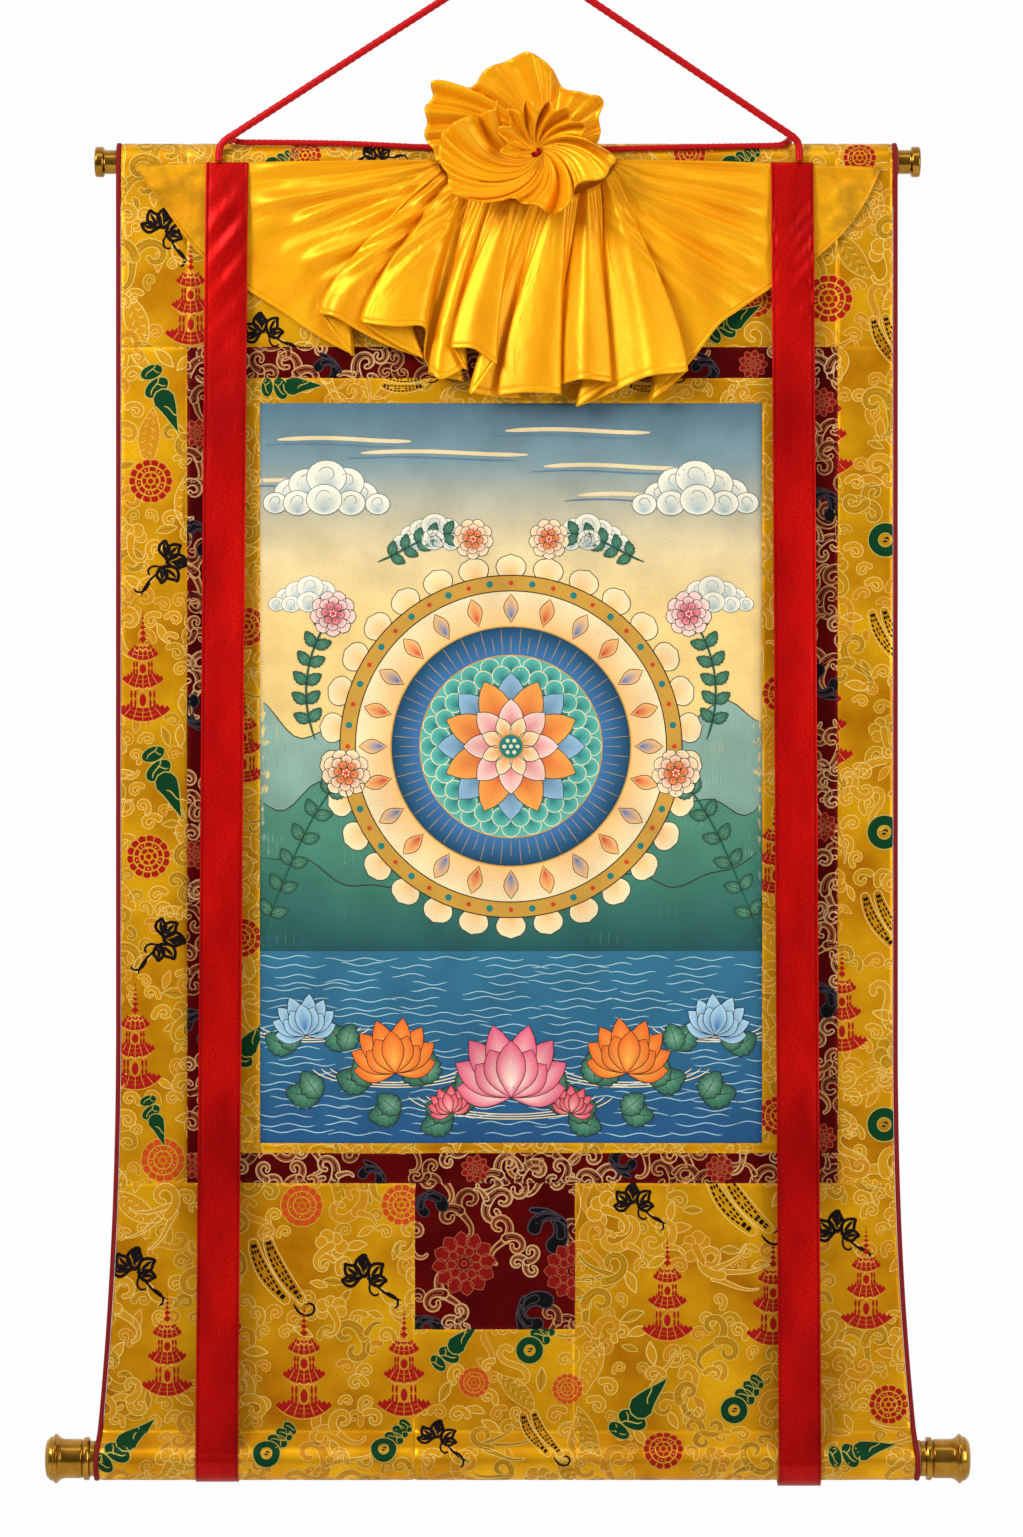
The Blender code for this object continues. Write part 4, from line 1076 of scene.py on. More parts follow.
# %% Coloured figures on the gold
CREAM, TAN, PALE_BODY = "#F6D272", "#DCA43A", "#D8960C"
ROSE, SAND, ROSE_BODY = "#F0BC5C", "#D4962C", "#D28C0A"
SILVER, OLIVE, GREY_BODY = "#E6C45C", "#8C7020", "#C88C0C"
RED, ORANGE, AMBER = "#B01410", "#D8481C", "#F0A93C"
GREEN, BLACK, JADE_LINE = "#06401F", "#150C0E", "#C6B04E"
FIGURES = {
    "flower": medallion(RED, AMBER),
    "orange_flower": medallion(ORANGE, AMBER),
    "pagoda": pagoda(RED, AMBER),
    "jade": jade(GREEN, JADE_LINE, "#3A2414"),
    "jade_ring": jade(GREEN, JADE_LINE, "#3A2414", lobes=0),
    "jade_pod": moved(jade_pod(GREEN, JADE_LINE), size=1.25),
    "tassel": tassel(BLACK, CREAM),
    "bud": bud(BLACK, CREAM),
}
# How far each figure keeps the clouds away: columns x and z of its middle, and the distance.
CLEAR = {"flower": (0, 0, 30), "orange_flower": (0, 0, 30), "pagoda": (0, 36, 42), "jade": (10, 13, 32),
         "jade_ring": (0, 0, 24), "jade_pod": (0, 0, 30), "tassel": (4, 0, 29), "bud": (4, -2, 26)}
# Columns: figure, x, z (mm), turn (degrees), size.
GOLD_FIGURES = (
    # the left strip, from the head down
    ("bud", -306, -58, -20, 1.2), ("pagoda", -286, -166, 0, 1.0), ("jade_pod", -311, -214, -58, 0.95),
    ("flower", -322, -289, 0, 1.0), ("bud", -303, -366, -95, 1.2), ("pagoda", -329, -505, 0, 1.06),
    ("jade_pod", -309, -559, -58, 1.0), ("flower", -324, -627, 8, 1.0), ("bud", -306, -706, -95, 1.2),
    ("pagoda", -336, -836, 0, 1.02), ("jade_pod", -318, -864, -62, 0.7),
    ("orange_flower", -311, -900, 4, 1.0),
    # the right strip
    ("tassel", 338, -166, 0, 1.2), ("pagoda", 286, -284, 0, 1.05), ("jade_ring", 339, -342, 0, 1.25),
    ("tassel", 337, -430, 0, 1.2), ("pagoda", 286, -545, 0, 1.05), ("jade_ring", 338, -605, 0, 1.25),
    ("tassel", 331, -686, 0, 1.25), ("pagoda", 300, -802, 0, 1.0), ("jade_ring", 338, -868, 0, 1.25),
    # the head and its sleeve
    ("flower", 316, 2, 0, 0.76), ("jade", -212, -6, -20, 0.7), ("flower", -183, 4, 0, 0.74),
    ("bud", -120, 6, 40, 0.9), ("jade", 200, -6, -20, 0.8), ("flower", 163, 6, 0, 0.74),
    ("flower", 288, -125, 0, 1.1), ("flower", 222, -126, 0, 0.8), ("jade_pod", 203, -146, 40, 0.8),
    ("bud", -218, -150, 10, 1.1),
    # the inner border
    ("tassel", -95, -205, 60, 0.9), ("tassel", 127, -205, 60, 0.9), ("jade_pod", -196, -204, 10, 0.8),
    ("flower", -236, -420, 0, 0.9), ("pagoda", -238, -560, 0, 0.9), ("flower", -240, -700, 0, 0.9),
    ("jade_pod", -236, -800, 60, 0.9), ("flower", 246, -480, 0, 0.9), ("pagoda", 240, -660, 0, 0.9),
    ("flower", 243, -860, 0, 0.9),
    # the foot and its roll
    ("bud", -332, -994, -10, 1.25), ("tassel", -218, -1002, 0, 1.45), ("bud", -126, -1000, 0, 1.25),
    ("orange_flower", -186, -941, 0, 0.96), ("orange_flower", -96, -940, 0, 0.94),
    ("pagoda", -307, -1112, 0, 1.0), ("pagoda", -184, -1132, 0, 1.1), ("pagoda", -94, -1130, 0, 1.05),
    ("jade", -217, -1168, 0, 1.0), ("jade", -112, -1164, 0, 0.95), ("jade_pod", -344, -1158, 52, 1.0),
    ("flower", -258, -1050, 0, 0.9), ("jade", 19, -1071, 0, 1.0), ("jade_pod", -48, -1068, 52, 0.8),
    ("orange_flower", -31, -1100, 0, 0.7), ("orange_flower", 53, -1106, 0, 0.7),
    ("tassel", 22, -1150, 0, 1.1), ("bud", -60, -1148, -8, 1.1), ("bud", 116, -934, 0, 1.1),
    ("tassel", 198, -942, 8, 1.5), ("pagoda", 143, -1062, 0, 1.0), ("pagoda", 238, -1066, 0, 1.05),
    ("jade_pod", 118, -1124, 56, 1.05), ("jade", 203, -1125, 0, 1.0), ("flower", 139, -1164, 0, 0.92),
    ("flower", 342, -1120, 0, 0.9), ("bud", 300, -960, 0, 1.2), ("pagoda", 322, -1052, 0, 1.0),
    ("jade_pod", 316, -1166, 20, 0.9),
)

OVER_CLOUDS = 0.12


def placed(table, figures):
    """Every row's figure, turned, scaled and moved to its place, over the clouds."""
    layers = [layer for kind, x, z, turn, size in table for layer in moved(figures[kind], x, z, turn, size)]
    return [layer._replace(lift=layer.lift + OVER_CLOUDS) for layer in layers]


gold_layers = placed(GOLD_FIGURES, FIGURES)
print(len(GOLD_FIGURES), "coloured figures,", sum(len(layer.triangles) for layer in gold_layers), "triangles")

# %% Clouds that fill the gold
# The cover hides this part of the head: columns x, z, reach (mm). No cloud is spent there.
UNDER_COVER = ((-60, -70, 62), (30, -80, 90), (120, -70, 62), (180, -40, 30), (-130, -50, 40))
SMALL_FIGURES = {"plume": plume, "puff": puff, "curl": curl, "seed": seed}
LARGE_PITCH, LARGE_PLAY, LARGE_SIZE = 33.5, 4.0, (0.9, 1.18)
SMALL_PITCH, SMALL_PLAY, SMALL_SIZE = 18.0, 3.0, (0.8, 1.2)


def scattered(patch, kept_clear, pitch, play, chance):
    """Places on a staggered grid over the patch, each shifted at random, and clear of the figures there."""
    top, bottom = max(patch.top, -26.0), min(patch.bottom, S_CREASE + 80)
    reach = 22 if patch.flared else 6
    x = np.arange(patch.left - reach, patch.right + reach + pitch / 2, pitch)
    s = np.arange(top - 4, bottom + pitch / 2, pitch * 0.86)
    x, s = np.meshgrid(x, s)
    x = x + (np.arange(len(s))[:, None] % 2) * pitch / 2
    spots = np.stack([x, -s], axis=-1).reshape(-1, 2) + chance.uniform(-play, play, (x.size, 2))
    if len(kept_clear):
        away = np.linalg.norm(spots[:, None] - kept_clear[:, :2], axis=2)
        spots = spots[(away > kept_clear[:, 2]).all(axis=1)]
    return spots


def filled_with_clouds(patch, kept_clear, kinds, threads, pitch, play, size, chance):
    """A cloud or leaf at each place, its kind, turn, size and thread by chance; and the ground taken."""
    layers, taken = [], []
    for x, z in scattered(patch, kept_clear, pitch, play, chance):
        kind, thread = kinds[chance.integers(len(kinds))], threads[chance.integers(len(threads))]
        turn, scale, flip = chance.uniform(-60, 60), chance.uniform(*size), chance.random() < 0.5
        drawn = SMALL_FIGURES[kind](*thread) if kind in SMALL_FIGURES else cloud(kind, *thread)
        layers += moved(drawn, x, z, turn, scale, flip)
        taken.append((x, z, 15.0 * scale))
    return layers, taken


GOLD_KINDS = ("ruyi", "ess", "cee", "comet", "stem", "plume", "puff", "ruyi", "ess", "plume", "trefoil")
GOLD_THREADS = ((CREAM, TAN, PALE_BODY), (SILVER, OLIVE, GREY_BODY), (ROSE, SAND, ROSE_BODY),
                (CREAM, SAND, PALE_BODY))
gold_clear = [(x + CLEAR[kind][0] * size, z + CLEAR[kind][1] * size, CLEAR[kind][2] * size + 4)
              for kind, x, z, turn, size in GOLD_FIGURES]
gold_clear += UNDER_COVER
trim = {}
for number, patch in enumerate(GOLD):
    chance = np.random.default_rng(number)
    clouds, taken = filled_with_clouds(patch, np.array(gold_clear), GOLD_KINDS, GOLD_THREADS, LARGE_PITCH,
                                       LARGE_PLAY, LARGE_SIZE, chance)
    around = np.array([(x, z, reach * 0.72) for x, z, reach in gold_clear] + taken)
    fillers, _ = filled_with_clouds(patch, around, ("curl", "seed", "curl"), GOLD_THREADS, SMALL_PITCH,
                                    SMALL_PLAY, SMALL_SIZE, chance)
    figures = weave(patch.name + "_figures", patch, clouds + fillers + gold_layers, figure_silk)
    trim.setdefault(patch.name, []).append(figures)
    print(figures.name, len(figures.data.polygons), "triangles")

# %% [markdown]
# ## The maroon brocade's figures
# The maroon cloth is closer woven with clouds of three outlines in beige, pairs of dark comma leaves with
# grey outlines, and red chrysanthemums. One large flower lies on the patch let into the foot.

# %% Figures on the maroon
BEIGE, RUST, WINE = "#D8A468", "#A2562E", "#580605"
MAROON_THREADS = ((BEIGE, RUST, WINE, 1.5), ("#C49058", "#8E4828", "#480404", 1.3),
                  ("#DEB47C", "#AA6A3C", "#520A08", 1.5))
INK, ASH, CRIMSON, SALMON = "#08060C", "#4A4048", "#8C0E0A", "#AC5030"
MAROON_FIGURES = {
    "chrysanthemum": flower(CRIMSON, SALMON),
    "small_flower": flower(CRIMSON, SALMON, radius=13.0, petals=9),
    "comma": comma(INK, ASH),
}
MAROON_CLEAR = {"chrysanthemum": (0, 0, 33), "small_flower": (0, 0, 20), "comma": (0, 0, 21)}
MAROON_PLACES = (
    ("chrysanthemum", -40, -993, 6, 1.0), ("chrysanthemum", 58, -1000, 0, 0.9), ("comma", 36, -950, 20, 1.4),
    ("comma", 12, -1040, 130, 1.3), ("comma", -78, -935, 80, 1.0), ("comma", -76, -1044, 40, 1.1),
    ("comma", -279, -330, 20, 1.1), ("comma", -280, -508, 200, 1.1), ("comma", -279, -770, 20, 1.1),
    ("small_flower", -280, -246, 0, 1.0), ("small_flower", -281, -625, 0, 1.0),
    ("small_flower", -280, -905, 0, 1.0), ("comma", 282, -300, 30, 1.1), ("comma", 283, -480, 200, 1.1),
    ("comma", 282, -745, 20, 1.1), ("small_flower", 282, -218, 0, 1.0), ("small_flower", 283, -600, 0, 1.0),
    ("small_flower", 282, -880, 0, 1.0), ("comma", -160, -182, 0, 1.0), ("comma", 180, -182, 0, 1.0),
    ("small_flower", 220, -184, 0, 1.0), ("comma", -120, -908, 0, 1.0), ("small_flower", -30, -908, 0, 1.0),
    ("comma", 100, -908, 180, 1.0), ("small_flower", 190, -908, 0, 1.0),
)
MAROON_KINDS = ("ruyi", "cee", "ruyi", "trefoil")
MAROON_PITCH, MAROON_PLAY, MAROON_SIZE = 30.0, 3.0, (0.78, 0.95)
maroon_layers = placed(MAROON_PLACES, MAROON_FIGURES)
maroon_clear = [(x, z, MAROON_CLEAR[kind][2] * size) for kind, x, z, turn, size in MAROON_PLACES]
for number, patch in enumerate(MAROON):
    chance = np.random.default_rng(40 + number)
    clouds, taken = filled_with_clouds(patch, np.array(maroon_clear), MAROON_KINDS, MAROON_THREADS,
                                       MAROON_PITCH, MAROON_PLAY, MAROON_SIZE, chance)
    figures = weave(patch.name + "_figures", patch, clouds + maroon_layers, figure_silk)
    trim.setdefault(patch.name, []).append(figures)
    print(figures.name, len(figures.data.polygons), "triangles")

# %% [markdown]
# ## The painting's canvas
# The canvas is fine cotton primed with chalk and glue and polished smooth. It hangs inside the borders.

# %% Canvas
def painted_finish(name, colour_of):
    """Matt mineral paint: colour_of gives the paint, which is worn in slow patches over the threads of the
    cotton. What faces the wall is bare cotton."""
    finish, tree, shader = new_finish(name, Roughness=0.8, Specular_IOR_Level=0.2)
    cloth = add(tree, "TexCoord")
    cotton = add(tree, "TexNoise", {"Vector": cloth.outputs["UV"], "Scale": 900.0, "Detail": 2.0})
    worn = add(tree, "TexNoise", {"Vector": cloth.outputs["UV"], "Scale": 22.0, "Detail": 6.0})
    both = add(tree, "Math", {0: worn, 1: cotton, 2: 0.0}, operation="ADD")
    shade = add(tree, "MapRange", {"Value": both, "From Min": 0.75, "From Max": 1.25,
                                             "To Min": 0.74, "To Max": 1.04})
    facing = add(tree, "SeparateXYZ", {"Vector": cloth.outputs["Normal"]})
    behind = add(tree, "MapRange", {"Value": facing.outputs["Y"], "From Min": 0.1, "From Max": 0.3})
    side = add(tree, "Mix", {MIX: behind, MIX_A: colour_of(tree, cloth), MIX_B: linear("#CDBB95")})
    tone = add(tree, "VectorMath", {0: side, 3: shade}, operation="SCALE")
    feed(tree, shader, {"Base Color": tone})
    bump = add(tree, "Bump", {"Strength": 0.3, "Distance": 0.0002, "Height": cotton})
    feed(tree, shader, {"Normal": bump})
    return finish


CANVAS = patch_of("canvas")
# Columns: share of the canvas's height from its top, colour of the wash there.
WASH = ((0.0, "#4F6F80"), (0.08, "#7B959A"), (0.2, "#E2CC98"), (0.3, "#F3D084"), (0.55, "#EFCB80"),
        (0.66, "#5B8872"), (0.73, "#2F6F8A"), (1.0, "#1D4F7C"))


def wash(tree, cloth):
    """The ground colours from the top of the canvas to its foot, run together by a ramp."""
    apart = add(tree, "SeparateXYZ", {"Vector": cloth.outputs["UV"]})
    down = add(tree, "MapRange", {"Value": apart.outputs["Y"], "From Min": CANVAS.top * MM,
                                            "From Max": CANVAS.bottom * MM})
    ramp = add(tree, "ValToRGB", {"Fac": down})
    for at, code in WASH[1:-1]:
        ramp.color_ramp.elements.new(at)
    for element, (at, code) in zip(ramp.color_ramp.elements, WASH):
        element.position, element.color = at, linear(code)
    return ramp


def brushed(tree, cloth):
    """The colour of each stroke."""
    return add(tree, "Attribute", attribute_name="thread")


canvas_sheet = sheet_of_patch(CANVAS, painted_finish("painted canvas, washes", wash), step=7.0)
print("painting", round(CANVAS.right - CANVAS.left), "x", round(CANVAS.bottom - CANVAS.top), "mm")

# %% [markdown]
# ## A painted wheel over a lotus pond
# The picture's place holds a plain decorative design in mineral colours: a lotus wheel over hills and a pond,
# with blossoming sprays and banks of cloud at both sides. A painter lays flat colours first, then shades each
# form from one side, and last draws every outline in ink. The layers follow that order, each a little higher.

# %% Brush tools
INK_LINE, CLOUD_LINE, CREAM_PAINT = "#33241A", "#6F7F84", "#F3DFB0"
PEACH, APRICOT, ROSE_PAINT = "#F9BE74", "#F08A34", "#D9405A"
NAVY, TEAL, DEEP_TEAL, BLUE = "#123F58", "#5FB9A8", "#1F7A74", "#3C74A8"
GOLD_PAINT, VERMILION, LEAF, DARK_LEAF = "#C9973A", "#CC3B22", "#5E9A78", "#1E5C4A"


def shaded(outline, middle, inside, rim, lift):
    """A fan whose colour runs from its middle to its outline."""
    triangles = fill(outline, middle)
    colour = np.empty((len(triangles), 3, 4))
    colour[:, 0], colour[:, 1:] = linear(inside), linear(rim)
    return Layer(triangles, colour, lift)


def graded(one, other, first, second, lift):
    """The space between two lines, its colour running from one to the other."""
    triangles = between(one, other)
    colour = np.empty((len(triangles), 3, 4))
    half = len(triangles) // 2
    colour[:half, :2], colour[:half, 2] = linear(first), linear(second)
    colour[half:, 0], colour[half:, 1:] = linear(first), linear(second)
    return Layer(triangles, colour, lift)


def petal_shape(length, half, blunt=0.8):
    """A petal from its foot at the origin upwards: half its width is half * sin(pi t^1.15)^blunt."""
    t = np.linspace(0, 1, 9)
    right = np.stack([half * np.sin(math.pi * t**1.15) ** blunt, length * t], axis=1)
    right[-1, 0] = 0
    return np.vstack([right, (right * (-1, 1))[-2:0:-1]])


def petal(length, half, foot, tip, lift, turn=0.0, reach=0.0, blunt=0.8):
    """A petal with its colour from foot to tip and an ink outline; reach moves it out from the origin."""
    shape = petal_shape(length, half, blunt) + (0, reach)
    return moved([shaded(shape, (0, reach + 0.22 * length), foot, tip, lift),
                  Layer(loop(shape, 0.7), INK_LINE, lift + 0.004)], turn=turn)


# Columns: turn of the petal (degrees), its length as a share. Back petals come first.
LOTUS_FAN = ((-80, 0.78), (80, 0.78), (-58, 0.92), (58, 0.92), (-36, 1.0), (36, 1.0), (-14, 1.05), (14, 1.05),
             (-47, 0.68), (47, 0.68), (-24, 0.74), (24, 0.74), (0, 0.80))


def lotus(size, foot, tip, lift):
    """A lotus from the side: a fan of petals, the front ones over the back ones."""
    layers = []
    for k, (turn, share) in enumerate(LOTUS_FAN):
        layers += petal(size * share, size * 0.21, foot, tip, lift + 0.008 * k, turn)
    return layers


def foliage(length, half, light, dark, lift):
    """A lobed leaf: its half width is a sine with ripples; a pale rib and veins run over it."""
    t = np.linspace(0, 1, 22)
    ripple = 0.80 + 0.20 * np.abs(np.cos(4.5 * math.pi * t))
    right = np.stack([half * np.sin(math.pi * t**0.85) ** 0.75 * ripple, length * t], axis=1)
    shape = np.vstack([right, (right * (-1, 1))[-2:0:-1]])
    layers = [shaded(shape, (0, length * 0.45), light, dark, lift),
              Layer(loop(shape, 0.7), INK_LINE, lift + 0.004),
              Layer(line(np.array([(0, 0), (0, length * 0.5), (0, length * 0.9)]), 0.9), INK_LINE,
                    lift + 0.006)]
    for share in (0.25, 0.45, 0.65):
        for way in (-1, 1):
            vein = np.array([(0, length * share), (way * half * 0.6, length * (share + 0.13))])
            layers.append(Layer(line(vein, 0.6), INK_LINE, lift + 0.006))
    return layers


def blossom(radius, heart, middle, edge, lift):
    """A round blossom from the front: three rings of petals, the inner over the outer, and a beaded heart."""
    layers = []
    rings = ((1.0, 9, middle, edge), (0.74, 8, heart, edge), (0.5, 6, heart, middle))
    for order, (reach, count, foot, tip) in enumerate(rings):
        for k in range(count):
            layers += petal(radius * reach * 0.62, radius * reach * 0.30, foot, tip,
                            lift + 0.03 * order + 0.002 * (k % 2), 360 / count * (k + 0.5 * order),
                            radius * reach * 0.36, blunt=0.45)
    layers.append(Layer(fill(ring(0, 0, radius * 0.2, count=12)), heart, lift + 0.09))
    for k in range(6):
        a = math.radians(60 * k)
        bead = ring(radius * 0.12 * math.cos(a), radius * 0.12 * math.sin(a), radius * 0.045, count=7)
        layers.append(Layer(fill(bead), CREAM_PAINT, lift + 0.10))
    return layers


def cloudbank(spots, white, shade, lift):
    """Round puffs, the back ones first: pale at the rim, shaded at the foot, a curled line in each."""
    layers = []
    for k, (x, z, r) in enumerate(spots):
        disc = ring(x, z, r, 0.86 * r, count=22)
        hook = sweep(x - 0.5 * r, z - 0.1 * r, 90, 1.9 * r, -120, -420, 12)
        layers += [shaded(disc, (x, z - 0.6 * r), shade, white, lift + 0.008 * k),
                   Layer(loop(disc, 0.8), CLOUD_LINE, lift + 0.008 * k + 0.003),
                   Layer(line(hook, 0.7), CLOUD_LINE, lift + 0.008 * k + 0.003)]
    return layers


def mirrored(layers):
    """The figure and its mirror image about x = 0."""
    return layers + moved(layers, flip=True)


print("lotus:", len(lotus(48, PEACH, APRICOT, 0.2)), "layers")


# %% The painting: a wheel of petals
def wheel():
    """Rings of a lotus wheel from the rim inwards, each ring a little higher than the last."""
    layers = []
    for k in range(30):
        layers += petal(25, 13.5, PEACH, CREAM_PAINT, 0.12 + 0.004 * (k % 2), 12 * k, 148, blunt=0.5)
    layers += [Layer(between(ring(0, 0, 154, count=90), ring(0, 0, 140, count=90)), GOLD_PAINT, 0.16)]
    layers += [Layer(loop(ring(0, 0, r, count=90), 1.0), INK_LINE, 0.17) for r in (154, 140)]
    for k in range(48):
        bead = ring(147, 0, 3.1 if k % 2 else 2.2, count=10)
        layers += moved([Layer(fill(bead), (VERMILION, DEEP_TEAL)[k % 2], 0.17)], turn=7.5 * k)
    layers.append(graded(ring(0, 0, 140, count=90), ring(0, 0, 108, count=90), CREAM_PAINT, PEACH, 0.16))
    for k in range(24):
        flame = petal(26, 6.5, VERMILION if k % 2 else BLUE, PEACH, 0.17, 15 * k, 111, blunt=1.1)
        layers += flame
    layers.append(graded(ring(0, 0, 108, count=90), ring(0, 0, 82, count=90), NAVY, BLUE, 0.18))
    layers += [Layer(loop(ring(0, 0, r, count=90), 1.2), GOLD_PAINT, 0.19) for r in (108, 82)]
    for k in range(72):
        ray = np.array([(84, 0), (95, 0), (106, 0)]) if k % 2 else np.array([(84, 0), (92, 0), (99, 0)])
        layers += moved([Layer(line(ray, 0.7), GOLD_PAINT, 0.19)], turn=5 * k)
    layers.append(graded(ring(0, 0, 82, count=72), ring(0, 0, 52, count=72), TEAL, DEEP_TEAL, 0.18))
    for row, reach in enumerate((73, 64)):
        for k in range(24):
            a, lift = math.radians(15 * (k + 0.5 * row)), 0.19 + 0.01 * row
            scale = ring(reach * math.cos(a), reach * math.sin(a), 8.6, count=14)
            middle = (reach * 0.95 * math.cos(a), reach * 0.95 * math.sin(a))
            layers += [shaded(scale, middle, DEEP_TEAL, TEAL, lift),
                       Layer(loop(scale, 0.7), CREAM_PAINT, lift + 0.005)]
    rings = ((64, 15, NAVY, "#8FB6CF"), (60, 14.5, VERMILION, "#F7A24A"), (40, 11, ROSE_PAINT, "#F7CFC2"),
             (25, 7, APRICOT, CREAM_PAINT))
    for order, (length, half, foot, tip) in enumerate(rings):
        for k in range(8):
            lift = 0.22 + 0.03 * order + 0.003 * (k % 2)
            layers += petal(length, half, foot, tip, lift, 45 * (k + 0.5 * (order % 2)), 3)
    heart = ring(0, 0, 11, count=24)
    layers += [Layer(fill(heart), DEEP_TEAL, 0.35), Layer(loop(heart, 1.0), GOLD_PAINT, 0.36)]
    for k in range(7):
        a, reach = math.radians(60 * k), 0 if k == 6 else 6
        bead = ring(reach * math.cos(a), reach * math.sin(a), 1.9, count=8)
        layers.append(Layer(fill(bead), CREAM_PAINT, 0.36))
    return layers


print("wheel:", len(wheel()), "layers")


# %% The painting: pond, sprays and clouds
def pond(chance):
    """Waves in pale lines over the water, and rings round the lotuses."""
    layers = []
    for z in np.arange(-166, -326, -7.5):
        for x in np.arange(-220, 220, 62):
            start, length = x + chance.uniform(-14, 14), chance.uniform(30, 70)
            u = np.linspace(0, length, 16)
            height = z + chance.uniform(-2, 2) + 1.5 * np.sin(u / 5.2 + chance.uniform(0, 6))
            wavy = np.stack([start + u, height], axis=1)
            layers.append(Layer(line(wavy, 0.8), "#A9CCD6", 0.11))
    for x, z, reach in ((0, -286, 78), (-104, -262, 60), (104, -262, 60), (-184, -226, 42), (184, -226, 42)):
        for wide in (reach, reach + 8, reach + 16):
            ripple = ring(x, z, wide, 0.27 * wide, count=44, start=-168, stop=-12)
            layers.append(Layer(line(ripple, 0.9), CREAM_PAINT, 0.12))
    return layers


def spray(turns, size, colours, lift):
    """A stem that curls, with leaves to either side and a blossom at its end."""
    path = sweep(*turns, 22)
    layers = [Layer(line(path, 2.0), DARK_LEAF, lift)]
    for k in range(3, 19, 3):
        ahead = path[k + 1] - path[k]
        heading = math.degrees(math.atan2(ahead[1], ahead[0])) - 90
        for way in (-1, 1):
            layers += moved(foliage(19, 6.4, LEAF, DARK_LEAF, lift + 0.01), *path[k], heading + 52 * way,
                            size)
    layers += moved(blossom(25, *colours, lift + 0.03), *path[-1], 20, size)
    return layers


def painted_scene():
    """The whole design about the canvas's middle, from the mist and the hills up to the wheel."""
    chance = np.random.default_rng(11)
    layers = []
    for z, x, length in ((300, -150, 120), (288, -60, 150), (276, 90, 120), (262, -196, 90), (250, 110, 100),
                         (308, 60, 130)):
        mist = np.stack([np.linspace(x - length / 2, x + length / 2, 20),
                         z + 1.5 * np.sin(np.linspace(0, 5, 20))], axis=1)
        layers.append(Layer(line(mist, 3.6), "#E9D3A4", 0.09))
        layers.append(Layer(line(mist - (12, 5), 1.6), "#5E7F92", 0.09))
    ridge_x = np.linspace(-226, 226, 60)
    away = np.abs(ridge_x) / 226
    hills = ((30, 26, "#8FB0A0", "#5B8872"), (-40, 30, "#4F8A70", "#2F6B5E"),
             (-104, 16, "#3C7A66", "#1E4F52"))
    for order, (height, rough, top, foot) in enumerate(hills):
        rise = np.sin(ridge_x / 23 + 2 * order) * 0.5 + np.sin(ridge_x / 9.5 + order) * 0.22
        ridge = height + rough * rise + 26 * away**2
        one, other = np.stack([ridge_x, ridge], axis=1), np.stack([ridge_x, 0 * ridge - 160], axis=1)
        layers += [graded(one, other, top, foot, 0.04 + 0.03 * order),
                   Layer(line(one, 1.0), INK_LINE, 0.05 + 0.03 * order)]
    layers += pond(chance)
    bank = ((-30, 0, 15), (34, -2, 14), (-16, 8, 16), (20, 9, 16), (2, 14, 18), (-44, -9, 11), (48, -10, 11),
            (-24, -9, 13), (24, -9, 13), (0, -6, 16))
    for x, z, size in ((-168, 252, 1.0), (-70, 214, 0.66), (-182, 158, 0.66)):
        layers += mirrored(moved(cloudbank(bank, "#FBF1D6", "#9FB4B4", 0.12), x, z, 0, size))
    warm, pink = ("#D8442A", "#F6A15C", "#FCE6C0"), ("#C93A5E", "#F19BA0", "#FBE0CE")
    layers += mirrored(spray((-226, -150, 66, 170, 20, -60), 0.9, warm, 0.14))
    layers += mirrored(spray((-176, 30, 112, 120, -60, -60), 0.85, pink, 0.18))
    layers += mirrored(spray((-120, 190, 20, 92, 60, -160), 0.75, warm, 0.18))
    for x, z, turn, size in ((-30, -296, 78, 1.5), (-76, -280, 40, 1.4), (-128, -282, 70, 1.3),
                             (-150, -250, 30, 1.2), (-196, -250, 60, 1.2), (-52, -310, 110, 1.3),
                             (-100, -306, 95, 1.2), (-172, -292, 80, 1.3)):
        layers += mirrored(moved(foliage(24, 10, LEAF, DARK_LEAF, 0.15), x, z, turn, size))
        layers += mirrored(moved(foliage(24, 10, "#79AF8C", DARK_LEAF, 0.16), x, z, turn - 46, size * 0.9))
    layers += mirrored(moved(lotus(48, "#F7B24A", "#EC6A22", 0.20), -104, -270, 6))
    layers += mirrored(moved(lotus(36, "#2F6EA6", "#A9CFE0", 0.20), -184, -236, 10))
    layers += mirrored(moved(lotus(24, "#F3B0A8", "#D9405A", 0.20), -54, -306, 14))
    layers += moved(lotus(64, "#FBE3CF", "#E0567A", 0.24), 0, -292)
    return layers + moved(wheel(), 0, 24)


# %% Lay the painting on the canvas
strokes = moved(painted_scene(), (CANVAS.left + CANVAS.right) / 2, -(CANVAS.top + CANVAS.bottom) / 2)
strokes = [stroke._replace(lift=2.5 * stroke.lift) for stroke in strokes]
picture = weave("painted_picture", CANVAS, strokes, painted_finish("mineral paint, brushed", brushed),
                longest=7.0)
print("painting:", len(strokes), "strokes,", len(picture.data.polygons), "triangles")

# %% [markdown]
# ## Piping
# A narrow strip of dark red cotton is folded over the raw side edges, from the back of the head sleeve down
# round the foot roll.

# %% Piping
PIPING_WIDTH = 4.2
PIPING_FRONT = 1.7


